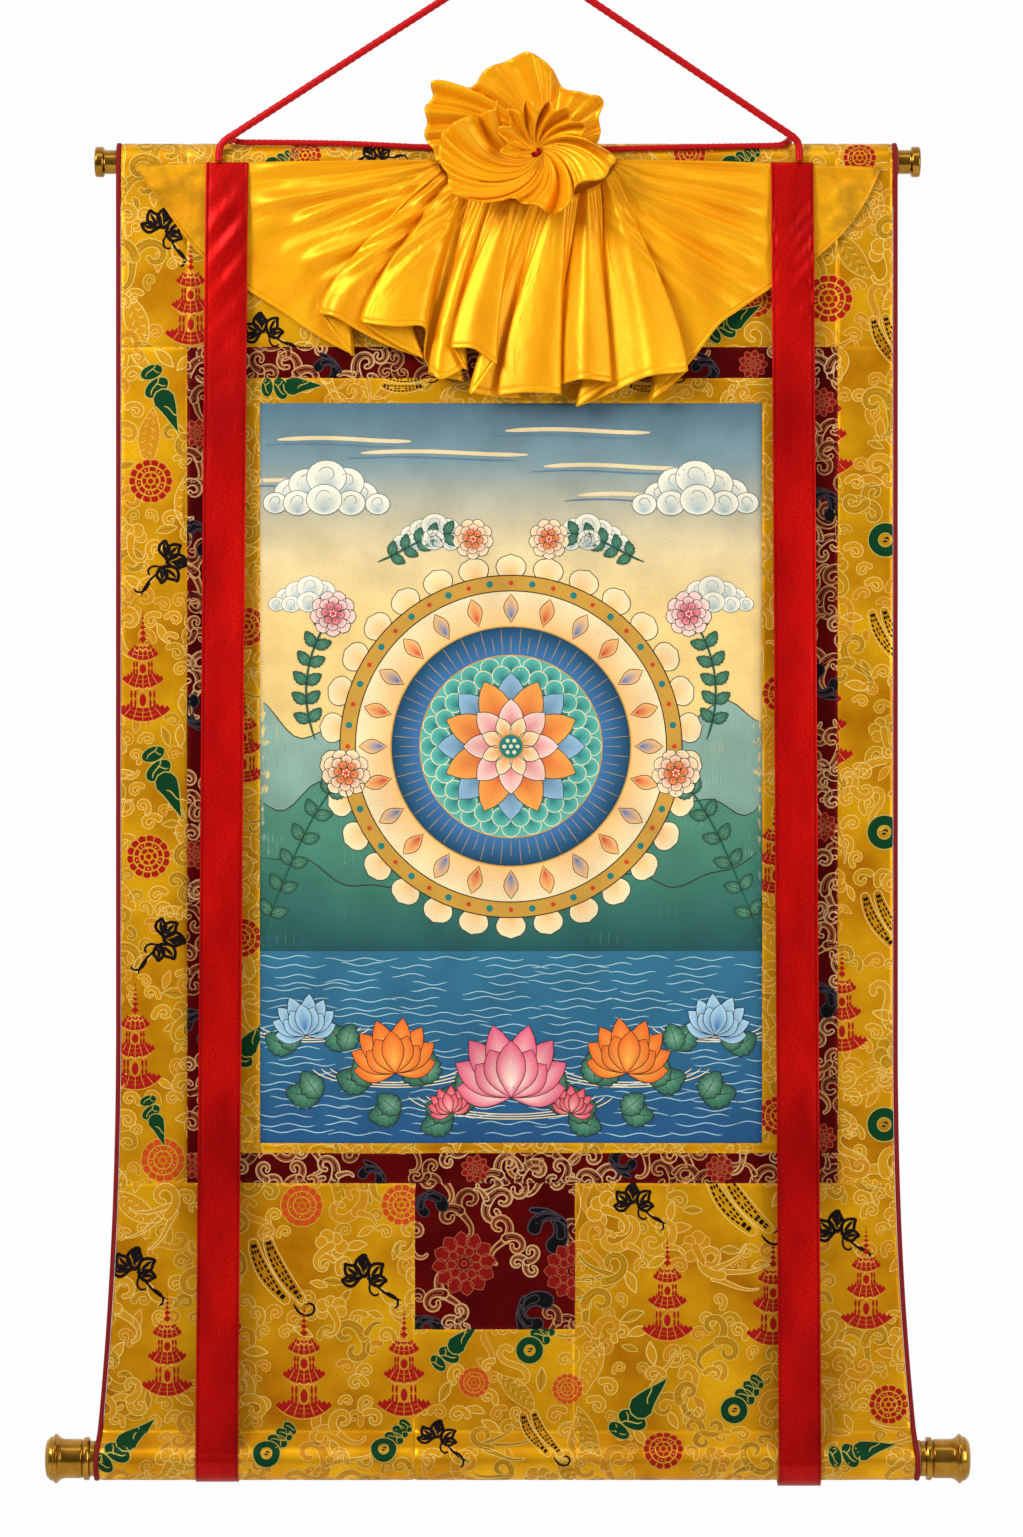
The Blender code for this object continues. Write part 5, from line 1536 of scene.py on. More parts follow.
def piping(name, side, finish):
    """A strip on the section, outside the edge: its face is a flat half-round, 1 - t^4 across."""
    s = np.concatenate([np.arange(S_HEAD_HEM, 0, 1.7), np.arange(0, S_CREASE - 10, 7.0),
                        np.linspace(S_CREASE - 10, S_FOOT_HEM, 90)])[:, None]
    z = np.interp(s, SECTION_S, SECTION[:, 1])
    t = np.linspace(-1, 1, 9)[None, :]
    inner = (LEFT_EDGE - flare(z)) if side < 0 else (RIGHT_EDGE + flare(z))
    x = inner + side * (GAP + PIPING_WIDTH / 2) + PIPING_WIDTH / 2 * t
    s = s + 0 * x
    round_over = PIPING_FRONT - 0.8 * t**4 + 0 * x
    points, faces = shell(hang(x, s, round_over), hang(x, s, -CLOTH / 2 + 0 * x))
    piece = new_object(name + "_binding", points, faces, finish, shell_uv(x, s))
    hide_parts(name)
    return piece


# Plain cotton: dull, with no sheen, so that it reads as a dark line beside the satin.
piping_red = grained("cotton piping, plain weave", "#5A0406", "#8E0B0B", "UV", (1200.0, 1200.0, 1200.0), 2.0,
                     0.4, 0.0002, Roughness=0.7, Specular_IOR_Level=0.2)
trim["side_left"].append(piping("piping_left", -1, piping_red))
trim["side_right"].append(piping("piping_right", 1, piping_red))
print("piping", round(S_FOOT_HEM - S_HEAD_HEM), "mm a side")


print(len(GOLD) + len(MAROON), "brocade sheets declared")

# %% [markdown]
# ## Ribbons
# Two satin ribbons hang from the head, cross the whole scroll and turn under the roller. Satin shows long
# soft lights, so the ribbon's slow twists and sideways buckles matter more than its weave. They are sines
# that lean. A woven edge, a little thicker, runs down both sides.

# %% Ribbon shape
RIBBON_WIDTH, SILK = 38.3, 1.2
# Columns: name, middle at the head and at the foot (x), how far the loop hangs under the roll, phase.
RIBBONS = (("ribbon_left", -253.0, -261.5, 0.0, 0.0), ("ribbon_right", 255.0, 261.2, 3.6, 2.2))
# Columns: height, depth in front of the patchwork (mm).
RIBBON_FALL = (
    (-2.7, 3.3), (-16, 5.2), (-50, 8.4), (-100, 10.6), (-240, 12.2), (-520, 14.6), (-860, 17.4),
    (-1100, 19.6),
)
RIBBON_ROLL_RADIUS = 20.2
# Lengths down the ribbon (mm): rows lie closer above the first and below the second; no sway past the third.
CLOSE_ABOVE, CLOSE_BELOW, STILL_BELOW = 180, 1140, 1130
# Columns: wave length and height (mm), how far it leans across the ribbon (mm), times the ribbon's own phase.
RIBBON_SWAY = ((213, 0.55, 36.1, 1), (131, 0.40, -22.8, 2))
CRUMPLE, CUP = 1.3, 0.5
# Shares of the half width: the grid's columns at the edge; then the edge's ridge and its groove, with half
# width and height (mm).
SEWN_EDGE = (1, 0.97, 0.93, 0.88, 0.8)
RIBBON_RIDGES = ((0.925, 0.02, 0.22), (0.88, 0.018, -0.25))
RIBBON_MEETS_ROLL, RIBBON_END = math.radians(20), math.radians(35)


def ribbon_path(slack):
    """Down the fall, then round under the roller to the back."""
    fall = smooth_curve(RIBBON_FALL, 12) * (1, -1)
    centre = (0.0, FOOT_AXIS - slack / 2)
    under = arc(centre, RIBBON_ROLL_RADIUS + slack / 2, RIBBON_MEETS_ROLL, -math.pi - RIBBON_END)
    path = np.vstack([fall[:, ::-1], under])
    return evenly(path, 2)[1], path


def ribbon(name, head_x, foot_x, slack, phase, finish):
    """Its face leans and buckles: sines of a slanted length, faded out at both ends and round the roller."""
    length, path = ribbon_path(slack)
    rows = np.concatenate([np.arange(0, CLOSE_ABOVE, 2.5), np.arange(CLOSE_ABOVE, CLOSE_BELOW, 6.0),
                           np.linspace(CLOSE_BELOW, length, 70)])
    fine, _ = evenly(path, 4000)
    y, z = (np.interp(rows, np.linspace(0, length, 4000), side)[:, None] for side in fine.T)
    edge_columns = np.array(SEWN_EDGE)
    t = np.concatenate([-edge_columns, np.linspace(-0.68, 0.68, 11), edge_columns[::-1]])[None, :]
    x = head_x + (foot_x - head_x) * (z / FOOT_AXIS) + RIBBON_WIDTH / 2 * t
    s = rows[:, None] + 0 * x
    free = np.clip((s - 4) / 60, 0, 1) * np.clip((STILL_BELOW - s) / 90, 0, 1)
    depth = -CUP * t**2
    for wave_length, high, lean, turns in RIBBON_SWAY:
        depth = depth + high * swell(s + lean * t, wave_length, turns * phase)
    depth = depth + CRUMPLE * bell(s - 60, 75) * swell(s + 21 * t, 34, phase) * np.cos(1.6 * t + phase)
    edge = sum(high * bell(np.abs(t) - place, wide) for place, wide, high in RIBBON_RIDGES)
    middle = np.stack([x, y - depth * free, z + 0 * x], axis=-1)
    out = normals_of(middle)
    points, faces = shell(middle + out * (SILK / 2 + edge)[..., None], middle - out * SILK / 2)
    piece = new_object(name + "_satin", points, faces, finish, shell_uv(RIBBON_WIDTH / 2 * t, s))
    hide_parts(name)
    return length


# %% Ribbon satin
def satin_finish(name, dark, bright, grain, crinkle, lean, **values):
    """Silk satin: a close grain across the warp, slow patches of painted sheen and shade, and soft crinkles;
    the sheen and the crinkles are drawn out along the cloth and lean by an angle in radians."""
    finish, tree, shader = new_finish(name, **values)
    cloth = add(tree, "TexCoord")
    fine = add(tree, "Mapping", {"Vector": cloth.outputs["UV"], "Scale": (0.35 / grain, 1 / grain, 1)})
    thread = add(tree, "TexNoise", {"Vector": fine, "Scale": 1.0, "Detail": 2.0})
    drawn_out = add(tree, "Mapping", {"Vector": cloth.outputs["UV"], "Scale": (44.0, 17.0, 1),
                                                "Rotation": (0, 0, lean)})
    # Painted sheen: slow drawn-out patches between the dark and the bright colour stand for satin's bands of
    # light.
    slow = add(tree, "TexNoise", {"Vector": drawn_out, "Scale": 0.45, "Detail": 2.0})
    both = add(tree, "Math", {0: thread, 1: slow}, operation="MULTIPLY")
    share = add(tree, "MapRange", {"Value": both, "From Min": 0.12, "From Max": 0.42})
    tone = add(tree, "Mix", {MIX: share, MIX_A: linear(dark), MIX_B: linear(bright)})
    feed(tree, shader, {"Base Color": tone})
    creased = add(tree, "TexNoise", {"Vector": drawn_out, "Scale": 1.0, "Detail": 2.0, "Distortion": 0.6})
    soft = add(tree, "Bump", {"Strength": crinkle, "Distance": 0.002, "Height": creased})
    bump = add(tree, "Bump", {"Strength": 0.22, "Distance": 0.0002, "Height": thread, "Normal": soft})
    feed(tree, shader, {"Normal": bump})
    return finish


# Dark and bright red are the ends of its grain and its painted sheen.
ribbon_red = satin_finish("satin ribbon, red silk", "#A40003", "#F81408", 0.0009, 0.6, 0.6, Roughness=0.36,
                          Metallic=0.5, Specular_IOR_Level=0.15)
# Painted shade: the first table darkens the ribbon towards the foot and in bands over its crumpled top; the
# second draws a dark line along the groove by the woven edge and darkens the ribbon towards its sides.
# Columns: height from the rod or distance from the ribbon's middle (mm), share of brightness there.
RIBBON_SHADE_BY_HEIGHT = ((-1190, 0.68), (-1130, 0.75), (-900, 0.83), (-620, 1.0), (-330, 1.0), (-190, 0.86),
               (-120, 0.96), (-60, 0.84), (0, 0.9))
RIBBON_EDGE_LINE_AND_SHADE = ((0, 1.0), (12, 0.98), (16.0, 0.92), (16.6, 0.55), (17.3, 0.55), (17.9, 1.0), (19.2, 0.8))
tree = ribbon_red.node_tree
shader = tree.nodes["Principled BSDF"]
cloth = add(tree, "TexCoord")
apart = add(tree, "SeparateXYZ", {"Vector": cloth.outputs["UV"]})
aside = add(tree, "Math", {0: apart.outputs["X"]}, operation="ABSOLUTE")
# Painted shade over the satin's colour: darker towards the foot and towards the sides, with a dark edge line.
tone = with_painted_shade(tree, shader.inputs["Base Color"].links[0].from_socket, RIBBON_SHADE_BY_HEIGHT)
feed(tree, shader, {"Base Color": by_table(tree, tone, aside, RIBBON_EDGE_LINE_AND_SHADE)})
for row in RIBBONS:
    print(row[0], round(ribbon(*row, ribbon_red)), "mm long")

# %% [markdown]
# ## The silk cover
# The cover is one wide length of thin yellow silk, gathered behind the rosette. Its pleats lap over each
# other as they open towards the hem. Each line of cloth starts on a flat half-ellipse at the gather and
# ends at its own place on the hem; the laps grow from nothing at the gather.

# %% Cover tables
TIE = np.array([26.6, -10.3, 5.0])
Spot = namedtuple("Spot", "angle reach depth")
Pleat = namedtuple("Pleat", "edge_angle edge_reach edge_depth tip_angle tip_reach tip_depth")
# Angles start at the left, 90 is straight down; reach is from the tie, depth in front of the patchwork (mm).
COVER_HEM = (
    Spot(1.5, 364, 1.8), Spot(8, 340, 3.8), Spot(17, 316, 4.6), Spot(25, 289, 5.0), Spot(33, 268, 5.5),
    Pleat(37.0, 243, 15, 46.5, 247, 11),
    Spot(41.0, 232, 24),
    Pleat(45.0, 219, 26, 59.5, 212, 13),
    Spot(51.0, 203, 33), Spot(57.5, 188, 28), Spot(62.0, 214, 9),
    Pleat(64.5, 221, 17, 71.0, 216, 11),
    Spot(67.0, 222, 24),
    Pleat(67.0, 193, 27, 71.0, 205, 19),
    Spot(72.0, 187, 35.5),
    Pleat(78.2, 195, 31, 75.0, 224, 24),
    Pleat(81.5, 222, 22.5, 85.0, 221, 14),
    Spot(86.5, 217, 31), Spot(91.0, 217, 32),
    Pleat(94.5, 219, 26, 92.6, 212, 17),
    Spot(97.0, 209, 24), Spot(101.5, 209, 34),
    Pleat(106.8, 217, 25, 99.5, 230, 15),
    Spot(111.0, 224, 23), Spot(117.0, 226, 34),
    Pleat(123.3, 238, 24, 115.5, 244, 14),
    Spot(134, 225, 10), Spot(142, 229, 8), Spot(150, 242, 6), Spot(159, 266, 5), Spot(168, 290, 4),
    Spot(177.7, 309, 1.8),
)
PLEAT_TURN, PLEAT_ROUND, PLEAT_FOLD_TOP = 3.0, 0.8, -0.2
GATHER_MIDDLE, GATHER_HALF_WIDTH, GATHER_TOP, GATHER_DROP, GATHER_DEPTH = 16.6, 80.0, -0.5, 38.0, 7.0
PLEATS_AT_GATHER = 0.35


def cover_hem(fold):
    """The hem as rows of angle, reach and depth. fold is how far pleats lap; each turn is half round."""
    hem = []
    for row in COVER_HEM:
        if isinstance(row, Spot):
            hem.append(tuple(row))
            continue
        facing = math.copysign(1, row.tip_angle - row.edge_angle)
        beyond = facing * PLEAT_ROUND * max(fold, 0)
        tip_angle = row.edge_angle + (row.tip_angle - row.edge_angle) * fold
        tip_reach = row.edge_reach + (row.tip_reach - row.edge_reach) * fold
        turns = [
            (tip_angle, tip_reach, row.tip_depth - PLEAT_TURN),
            (tip_angle + beyond, tip_reach, row.tip_depth),
            (tip_angle, tip_reach, row.tip_depth + PLEAT_TURN),
            (row.edge_angle, row.edge_reach, row.edge_depth - PLEAT_TURN),
            (row.edge_angle - beyond, row.edge_reach, row.edge_depth),
            (row.edge_angle, row.edge_reach - 1, row.edge_depth + PLEAT_TURN),
        ]
        hem += turns if facing > 0 else turns[::-1]
    return np.array(hem)


print("the hem has", len(cover_hem(1)), "turns")

# %% Creases of the wings
# Soft creases across the wings. Columns: start x, z and end x, z in front view, half width
# and height (mm); a height below 0 is a trough.
WING_CREASES = (
    (-96, -1, -262, -9, 3.2, 2.4), (-98, -9, -300, -20, 4.5, -1.8), (-104, -18, -282, -37, 3.8, 2.6),
    (-112, -24, -205, -46, 3.0, -1.6), (-130, -34, -254, -66, 4.2, 2.2), (-96, -24, -212, -80, 4.0, -2.0),
    (-88, -28, -196, -96, 3.6, 2.8), (-170, -20, -236, -88, 5.0, -1.6), (-232, -30, -280, -86, 4.0, 1.9),
    (-306, -6, -352, -10, 3.0, 1.5), (-300, -22, -344, -20, 3.4, 1.8), (-288, -44, -336, -28, 3.2, -1.4),
    (96, 0, 250, -8, 3.4, 2.2), (92, -8, 232, -34, 4.2, -1.8), (96, -14, 262, -54, 3.6, 2.8),
    (100, -26, 214, -86, 4.4, 2.4), (108, -46, 206, -106, 3.4, -1.8), (150, -40, 240, -52, 3.2, 1.8),
    (176, -74, 226, -96, 3.4, 1.6), (282, -8, 338, -12, 3.2, 1.6), (288, -40, 330, -18, 3.4, 1.8),
    (286, -64, 322, -38, 3.0, 1.4),
)
# Folds that fan out from the gather. Columns: angle round the tie (degrees from the left, turning down), half
# width (degrees), height (mm), reach from the tie where it starts and ends (mm).
WING_FANS = (
    (2.6, 1.1, 1.6, 70, 250), (6.6, 1.3, 2.2, 80, 236), (10.8, 1.5, 2.4, 74, 262), (15.6, 1.7, 3.0, 70, 224),
    (20.6, 1.6, 2.2, 76, 246), (25.4, 1.8, 3.2, 70, 232), (30.8, 1.7, 2.4, 78, 226),
    (36.0, 1.6, 2.6, 70, 214), (41.6, 1.4, 1.6, 74, 190), (136.4, 1.5, 2.0, 74, 200),
    (141.8, 1.7, 2.8, 70, 224), (147.6, 1.9, 3.2, 72, 240), (153.8, 1.6, 2.2, 80, 228),
    (158.6, 1.7, 3.0, 70, 252), (164.4, 1.6, 2.4, 74, 220), (169.4, 1.3, 2.6, 70, 248),
    (173.6, 1.2, 1.8, 84, 230), (177.4, 1.0, 1.4, 70, 246),
)
FINE_GATHERS, FINE_DEPTH = 38, 0.8
# How far a crease bows (mm) and spreads, and how far a fan bows (degrees) and at what reach it is whole.
CREASE_BOW, CREASE_SPREAD, FAN_BOW, FAN_REACH = 5.0, 2.1, 1.4, 130
# Share of the tables' heights, and the strip beside the ribbon's middle where no crease runs (mm).
CREASE_SHARE, FAN_SHARE = 1.5, 1.9
CALM_MIDDLE, CALM_WIDTH = 254, 32
# The hem starts at a share of the way down, stands out, and has a groove of stitches at its seam.
HEM_START, HEM_STEP, HEM_SEAM, SEAM_REACH, SEAM_GROOVE = 0.971, 0.5, 0.968, 0.004, 0.35


def creases(table, x, z):
    """The sum of soft ridges: each a bell curve across its line, and a half sine along it."""
    height = np.zeros_like(x)
    for x0, z0, x1, z1, wide, high in table:
        run = np.array([x1 - x0, z1 - z0])
        along = ((x - x0) * run[0] + (z - z0) * run[1]) / (run @ run)
        arch = np.sin(math.pi * np.clip(along, 0, 1))
        off = ((x - x0) * run[1] - (z - z0) * run[0]) / math.hypot(*run) + CREASE_BOW * arch
        height += high * bell(off, CREASE_SPREAD * wide) * arch**0.7
    return height


def fans(table, x, z):
    """The sum of folds that fan out from the tie, each a little bowed: a bell curve across the angle, and a
    half sine along the reach."""
    angle = np.degrees(np.arctan2(TIE[2] - z, TIE[0] - x))
    reach = np.hypot(x - TIE[0], z - TIE[2])
    height = np.zeros_like(x)
    for middle, wide, high, first, last in table:
        along = np.clip((reach - first) / (last - first), 0, 1)
        arch = np.sin(math.pi * along)
        bowed = middle + FAN_BOW * arch * math.cos(middle)
        height += high * reach / FAN_REACH * bell(angle - bowed, wide) * arch**0.6
    return height


print(len(WING_CREASES), "creases and", len(WING_FANS), "fans")

# %% Cover shape
COVER_ROWS, COVER_STEPS, COVER_COLUMNS = 46, 12, 372
# Share of the columns that follow the cloth's length; the others crowd into the pleats' turns.
EVEN_SHARE = 0.6


def cover_grid():
    """The cover's middle surface, rows from the gather to the hem, closer at the hem's seam. Fine gathers
    fade away from the gather, and the hem stands proud of its seam. No crease runs on under the ribbons."""
    v = np.concatenate([np.linspace(0, 0.945, COVER_ROWS - 6),
                        (0.958, 0.966, 0.970, 0.974, 0.982, 0.992, 1.0)])
    folds = PLEAT_FOLD_TOP + (1 - PLEAT_FOLD_TOP) * v**1.2
    hem = np.stack([smooth_curve(cover_hem(fold), COVER_STEPS) for fold in folds])
    turn = np.radians(hem[-1, :, 0])
    low = np.stack([hem[-1, :, 1] * np.cos(turn), hem[-1, :, 1] * np.sin(turn), hem[-1, :, 2]], axis=1)
    run = np.concatenate([[0], np.cumsum(np.linalg.norm(np.diff(low, axis=0), axis=1))])
    number = np.arange(len(run)) / (len(run) - 1)
    spread = EVEN_SHARE * run / run[-1] + (1 - EVEN_SHARE) * number
    share = np.interp(np.linspace(0, 1, COVER_COLUMNS), spread, number)
    whole = np.minimum((share * (len(run) - 1)).astype(int), len(run) - 2)
    part = (share * (len(run) - 1) - whole)[None, :, None]
    hem = hem[:, whole] * (1 - part) + hem[:, whole + 1] * part
    v = v[:, None]
    turn = np.radians(hem[:, :, 0])
    hem_x, hem_z = TIE[0] - hem[:, :, 1] * np.cos(turn), TIE[2] - hem[:, :, 1] * np.sin(turn)
    start = math.pi * share
    start_x = GATHER_MIDDLE - GATHER_HALF_WIDTH * np.cos(start)
    start_z = GATHER_TOP - GATHER_DROP * np.sin(start)
    x = start_x + (hem_x - start_x) * (1 - (1 - v) ** 1.5)
    z = start_z + (hem_z - start_z) * v
    opening = PLEATS_AT_GATHER + (1 - PLEATS_AT_GATHER) * v**0.9
    depth = GATHER_DEPTH * (1 - v) ** 4 + hem[:, :, 2] * opening
    column = 2 * math.pi * FINE_GATHERS * share[None, :]
    gathers = FINE_DEPTH * np.sin(column + 1.7 * np.sin(column / 5.3))
    depth = depth + gathers * np.exp(-v / 0.34) * np.clip(v / 0.05, 0, 1)
    calm = 1 - np.exp(-(((np.abs(x) - CALM_MIDDLE) / CALM_WIDTH) ** 4))
    depth = depth + calm * (CREASE_SHARE * creases(WING_CREASES, x, z) + FAN_SHARE * fans(WING_FANS, x, z))
    depth = depth + HEM_STEP * (v > HEM_START) - SEAM_GROOVE * bell(v - HEM_SEAM, SEAM_REACH)
    hanging = np.clip((-4 - z) / 20, 0, 1)
    depth = np.maximum(depth, CLOTH / 2 + SILK / 2 + GAP + 1.2 * hanging)
    return np.stack([x, -depth, z], axis=2), v


cover_middle, cover_v = cover_grid()
cover_out = normals_of(cover_middle)
cover_points, cover_faces = shell(cover_middle + cover_out * SILK / 2, cover_middle - cover_out * SILK / 2)
across = np.linalg.norm(np.diff(cover_middle[-1], axis=0), axis=1)
print("cover hem is", round(across.sum()), "mm long")

# %% Cover silk
# Its two yellows are the ends of its grain and its painted sheen, which runs down the cover.
silk_yellow = satin_finish("silk cover, yellow satin", "#E28E02", "#F8B610", 0.0009, 0.55, 0.0, Roughness=0.4,
                           Metallic=0.3, Specular_IOR_Level=0.15)
tree = silk_yellow.node_tree
shader = tree.nodes["Principled BSDF"]
place = add(tree, "TexCoord")
apart = add(tree, "SeparateXYZ", {"Vector": place.outputs["Object"]})
away = add(tree, "Math", {0: apart.outputs["X"]}, operation="ABSOLUTE")
single = add(tree, "MapRange", {"Value": away, "From Min": 0.245, "From Max": 0.3})
through = add(tree, "TexNoise", {"Vector": place.outputs["Object"], "Scale": 55.0, "Detail": 3.0})
patchy = add(tree, "MapRange", {"Value": through, "From Min": 0.42, "From Max": 0.62,
                                          "To Min": 0.25, "To Max": 0.8})
share = add(tree, "Math", {0: single, 1: patchy}, operation="MULTIPLY")
sheer = add(tree, "Mix", {MIX: share, MIX_A: shader.inputs["Base Color"].links[0].from_socket,
                                    MIX_B: linear("#A8760E")})
feed(tree, shader, {"Base Color": sheer})
hem_run = np.concatenate([[0], np.cumsum(across)])
# Mean length of cloth from the gather to the hem (mm).
COVER_FALL = 230
cover_uv = shell_uv(hem_run[None, :], COVER_FALL * cover_v)
cover = new_object("cover_silk", cover_points, cover_faces, silk_yellow, cover_uv)
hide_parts("cover")

# %% [markdown]
# ## The rosette
# The rest of the cover is drawn up through the tie and fans out over it as a rosette. It is one strip: its
# inner edge winds round the knot, and its outer edge runs in loops, first behind, then turning at the left
# and round the front.

# %% Rosette table and shape
# Columns: angle (degrees from the right, turning up), reach from the tie, depth off the patchwork (mm).
ROSETTE_RIM = (
    (6, 52, 12), (18, 59, 18), (30, 63, 13), (39, 75, 21), (50, 67, 26), (68, 62, 15), (82, 77, 20),
    (96, 89, 22), (110, 87, 15), (123, 88, 14), (136, 84, 19), (146, 113, 23), (152, 107, 14), (159, 109, 23),
    (165, 103, 15), (172, 103, 24), (179, 94, 17), (185, 91, 24), (178, 78, 29), (160, 64, 29), (144, 56, 31),
    (134, 54, 36), (130, 57, 43), (138, 52, 49), (149, 61, 42), (156, 68, 50), (163, 77, 54), (170, 86, 48),
    (178, 88, 41), (187, 89, 50), (196, 84, 41), (206, 88, 50), (215, 78, 40), (223, 71, 52), (234, 55, 42),
    (245, 50, 47), (256, 52, 54), (268, 51, 46), (281, 59, 42), (290, 60, 53), (301, 56, 55), (312, 48, 42),
    (324, 50, 44), (335, 64, 52), (345, 66, 43), (354, 69, 41),
    # the last turn, in front of the knot
    (363, 50, 50), (374, 40, 55), (386, 47, 49), (398, 37, 55), (411, 46, 48), (424, 36, 55), (437, 44, 48),
    (450, 33, 55), (463, 45, 49), (476, 34, 56), (489, 44, 50), (502, 31, 56), (516, 40, 50), (531, 27, 55),
    (547, 34, 50), (562, 22, 53),
)
# Columns: share of the strip's length, depth of its inner edge (mm).
ROSETTE_CORE = ((0.0, 11.2), (0.28, 13.4), (0.36, 20.0), (0.74, 27.0), (1.0, 36.0))
# Columns: share of the strip's length, radius of its inner edge (mm): the front turns close over the knot.
ROSETTE_HEART = ((0.0, 6.6), (0.40, 6.6), (0.5, 3.6), (1.0, 1.6))
# Ruffles along the rim: columns wave length (mm), depth (mm), start.
RUFFLES = ((23.0, 1.2, 0.4), (33.0, 2.4, 2.1), (61.0, 3.4, 1.0))
# Length that the ruffles are counted along, and wave length and height of the knot's gathers (mm).
RUFFLED_RUN, KNOT_GATHER, GATHER_HEIGHT = 1600, 19, 0.6
ROSETTE_WIDTH, ROSETTE_BACK, ROSETTE_FRONT = 70, 4.5, 57.0
# The rim's rolled edge and groove. Columns: share of the way out, half width as a share, height (mm).
ROSETTE_EDGE = ((1.0, 0.05, 0.6), (0.9, 0.03, -0.5))
ROSETTE_ROWS, ROSETTE_STEPS = 26, 7


def rosette_grid():
    """The strip's middle surface: rows from the knot out to the rim, v^0.6 in turn and v^1.2 in depth, with
    ruffles that grow towards the rim and fine gathers at the knot."""
    rim = smooth_curve(ROSETTE_RIM, ROSETTE_STEPS)
    share = np.linspace(0, 1, len(rim))
    core_depth = np.interp(share, *np.transpose(ROSETTE_CORE))
    heart = np.interp(share, *np.transpose(ROSETTE_HEART))
    v = np.linspace(0, 1, ROSETTE_ROWS + 1)[:, None]
    run = share * RUFFLED_RUN
    core_angle = rim[0, 0] + (rim[-1, 0] - rim[0, 0]) * share
    turn = np.radians(core_angle + (rim[:, 0] - core_angle) * v**0.6)
    reach = heart + (rim[:, 1] - heart) * v
    depth = core_depth + (rim[:, 2] - core_depth) * v**1.2
    for length, high, start in RUFFLES:
        depth = depth + high * v**1.4 * swell(run, length, start + 1.4 * v)
    gathers = swell(run, KNOT_GATHER, 2 * np.sin(run / 37)) * np.sin(math.pi * np.clip(v / 0.8, 0, 1))
    depth = depth + GATHER_HEIGHT * gathers
    for place, wide, high in ROSETTE_EDGE:
        depth = depth + high * bell(v - place, wide)
    depth = np.clip(depth, ROSETTE_BACK, ROSETTE_FRONT)
    return np.stack([TIE[0] + reach * np.cos(turn), -depth, TIE[2] + reach * np.sin(turn)], axis=2)


rosette_middle = rosette_grid()
rosette_out = normals_of(rosette_middle)
points, faces = shell(rosette_middle + rosette_out * SILK / 2, rosette_middle - rosette_out * SILK / 2)
rim_run = np.concatenate([[0], np.cumsum(np.linalg.norm(np.diff(rosette_middle[-1], axis=0), axis=1))])
v = np.linspace(0, 1, ROSETTE_ROWS + 1)[:, None]
rosette = new_object("rosette_silk", points, faces, silk_yellow,
                     shell_uv(rim_run[None, :], ROSETTE_WIDTH * v))
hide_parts("rosette")
print("rosette rim is", round(rim_run[-1]), "mm long")

# %% Knot
def wound_knot(node, finish):
    """The tie's knot: an ellipsoid in the node's box, with ridges cos(4a + 7b) of cord wound round it."""
    low, high = box_of(node)
    middle, half = (low + high) / 2, (high - low) / 2
    a = np.linspace(0, 2 * math.pi, 40, endpoint=False)[None, :]
    b = np.linspace(0, math.pi, 25)[:, None]
    size = 0.93 + 0.07 * np.cos(4 * a + 7 * b) * np.sin(b)
    points = np.stack([size * np.sin(b) * np.cos(a), size * np.sin(b) * np.sin(a), size * np.cos(b) + 0 * a],
                      axis=-1)
    points = middle + half * points
    points[0], points[-1] = points[0].mean(axis=0), points[-1].mean(axis=0)
    piece = new_object(node + "_wound", points.reshape(-1, 3), tube_faces(*points.shape[:2]), finish)
    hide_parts(node)
    return piece


knot = wound_knot("tie_knot", cord_red)
print("knot", len(knot.data.polygons), "faces")

# %% [markdown]
# ## Wooden rods
# The rod in the head sleeve and the roller at the foot are planed softwood. Only their sawn ends could show.

# %% Wood
# Softwood: the noise is drawn out along the rod, as the grain runs.
wood = grained("pine rod, planed", "#8A5A2E", "#C99A62", "Object", (12.0, 420.0, 420.0), 4.0, 0.3, 0.0003,
               Roughness=0.65, Specular_IOR_Level=0.3)
for name in ("head_rod", "foot_roller"):
    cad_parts[name].material_slots[0].material = wood
print("two wooden rods")

# %% [markdown]
# ## Turned brass
# The ends of both rods are brass, turned on a lathe and polished, with a lacquer gone a little warm. Each is
# a profile spun round the rod's axis.

# %% Brass finish
# Warm metal under lacquer: the lathe's marks spread its highlights, and the age noise dulls it in patches.
brass, tree, shader = new_finish("brass, turned and lacquered", Metallic=1.0, Roughness=0.22)
place = add(tree, "TexCoord")
rings = add(tree, "Mapping", {"Vector": place.outputs["Object"], "Scale": (2600.0, 60.0, 60.0)})
lathe_marks = add(tree, "TexNoise", {"Vector": rings, "Scale": 1.0, "Detail": 1.0})
age = add(tree, "TexNoise", {"Vector": place.outputs["Object"], "Scale": 70.0, "Detail": 4.0})
tone = add(tree, "Mix", {MIX: age, MIX_A: linear("#6E4510"), MIX_B: linear("#CC9838")})
feed(tree, shader, {"Base Color": tone})
bump = add(tree, "Bump", {"Strength": 0.08, "Distance": 0.0002, "Height": lathe_marks})
feed(tree, shader, {"Normal": bump})
print("brass ready")

# %% Brass ends
# Columns: distance along the rod from the piece's inner face, radius (mm).
CAP_PROFILE = (
    (0.0, 8.4), (0.0, 10.4), (0.5, 10.8), (11.2, 10.8), (11.9, 12.9), (13.0, 13.7), (18.6, 13.7),
    (19.8, 12.6), (20.2, 9.0), (20.3, 0.01),
)
KNOB_PROFILE = (
    (0.0, 11.4), (0.0, 15.6), (0.5, 16.0), (4.3, 16.0), (5.2, 18.8), (6.4, 19.4), (9.0, 19.4), (10.2, 18.6),
    (11.2, 16.6), (12.4, 17.6), (27.0, 17.6), (30.0, 18.2), (32.6, 20.0), (34.2, 22.0), (36.4, 22.0),
    (37.4, 20.4), (40.5, 19.4), (43.6, 16.0), (45.0, 10.0), (45.3, 0.01),
)


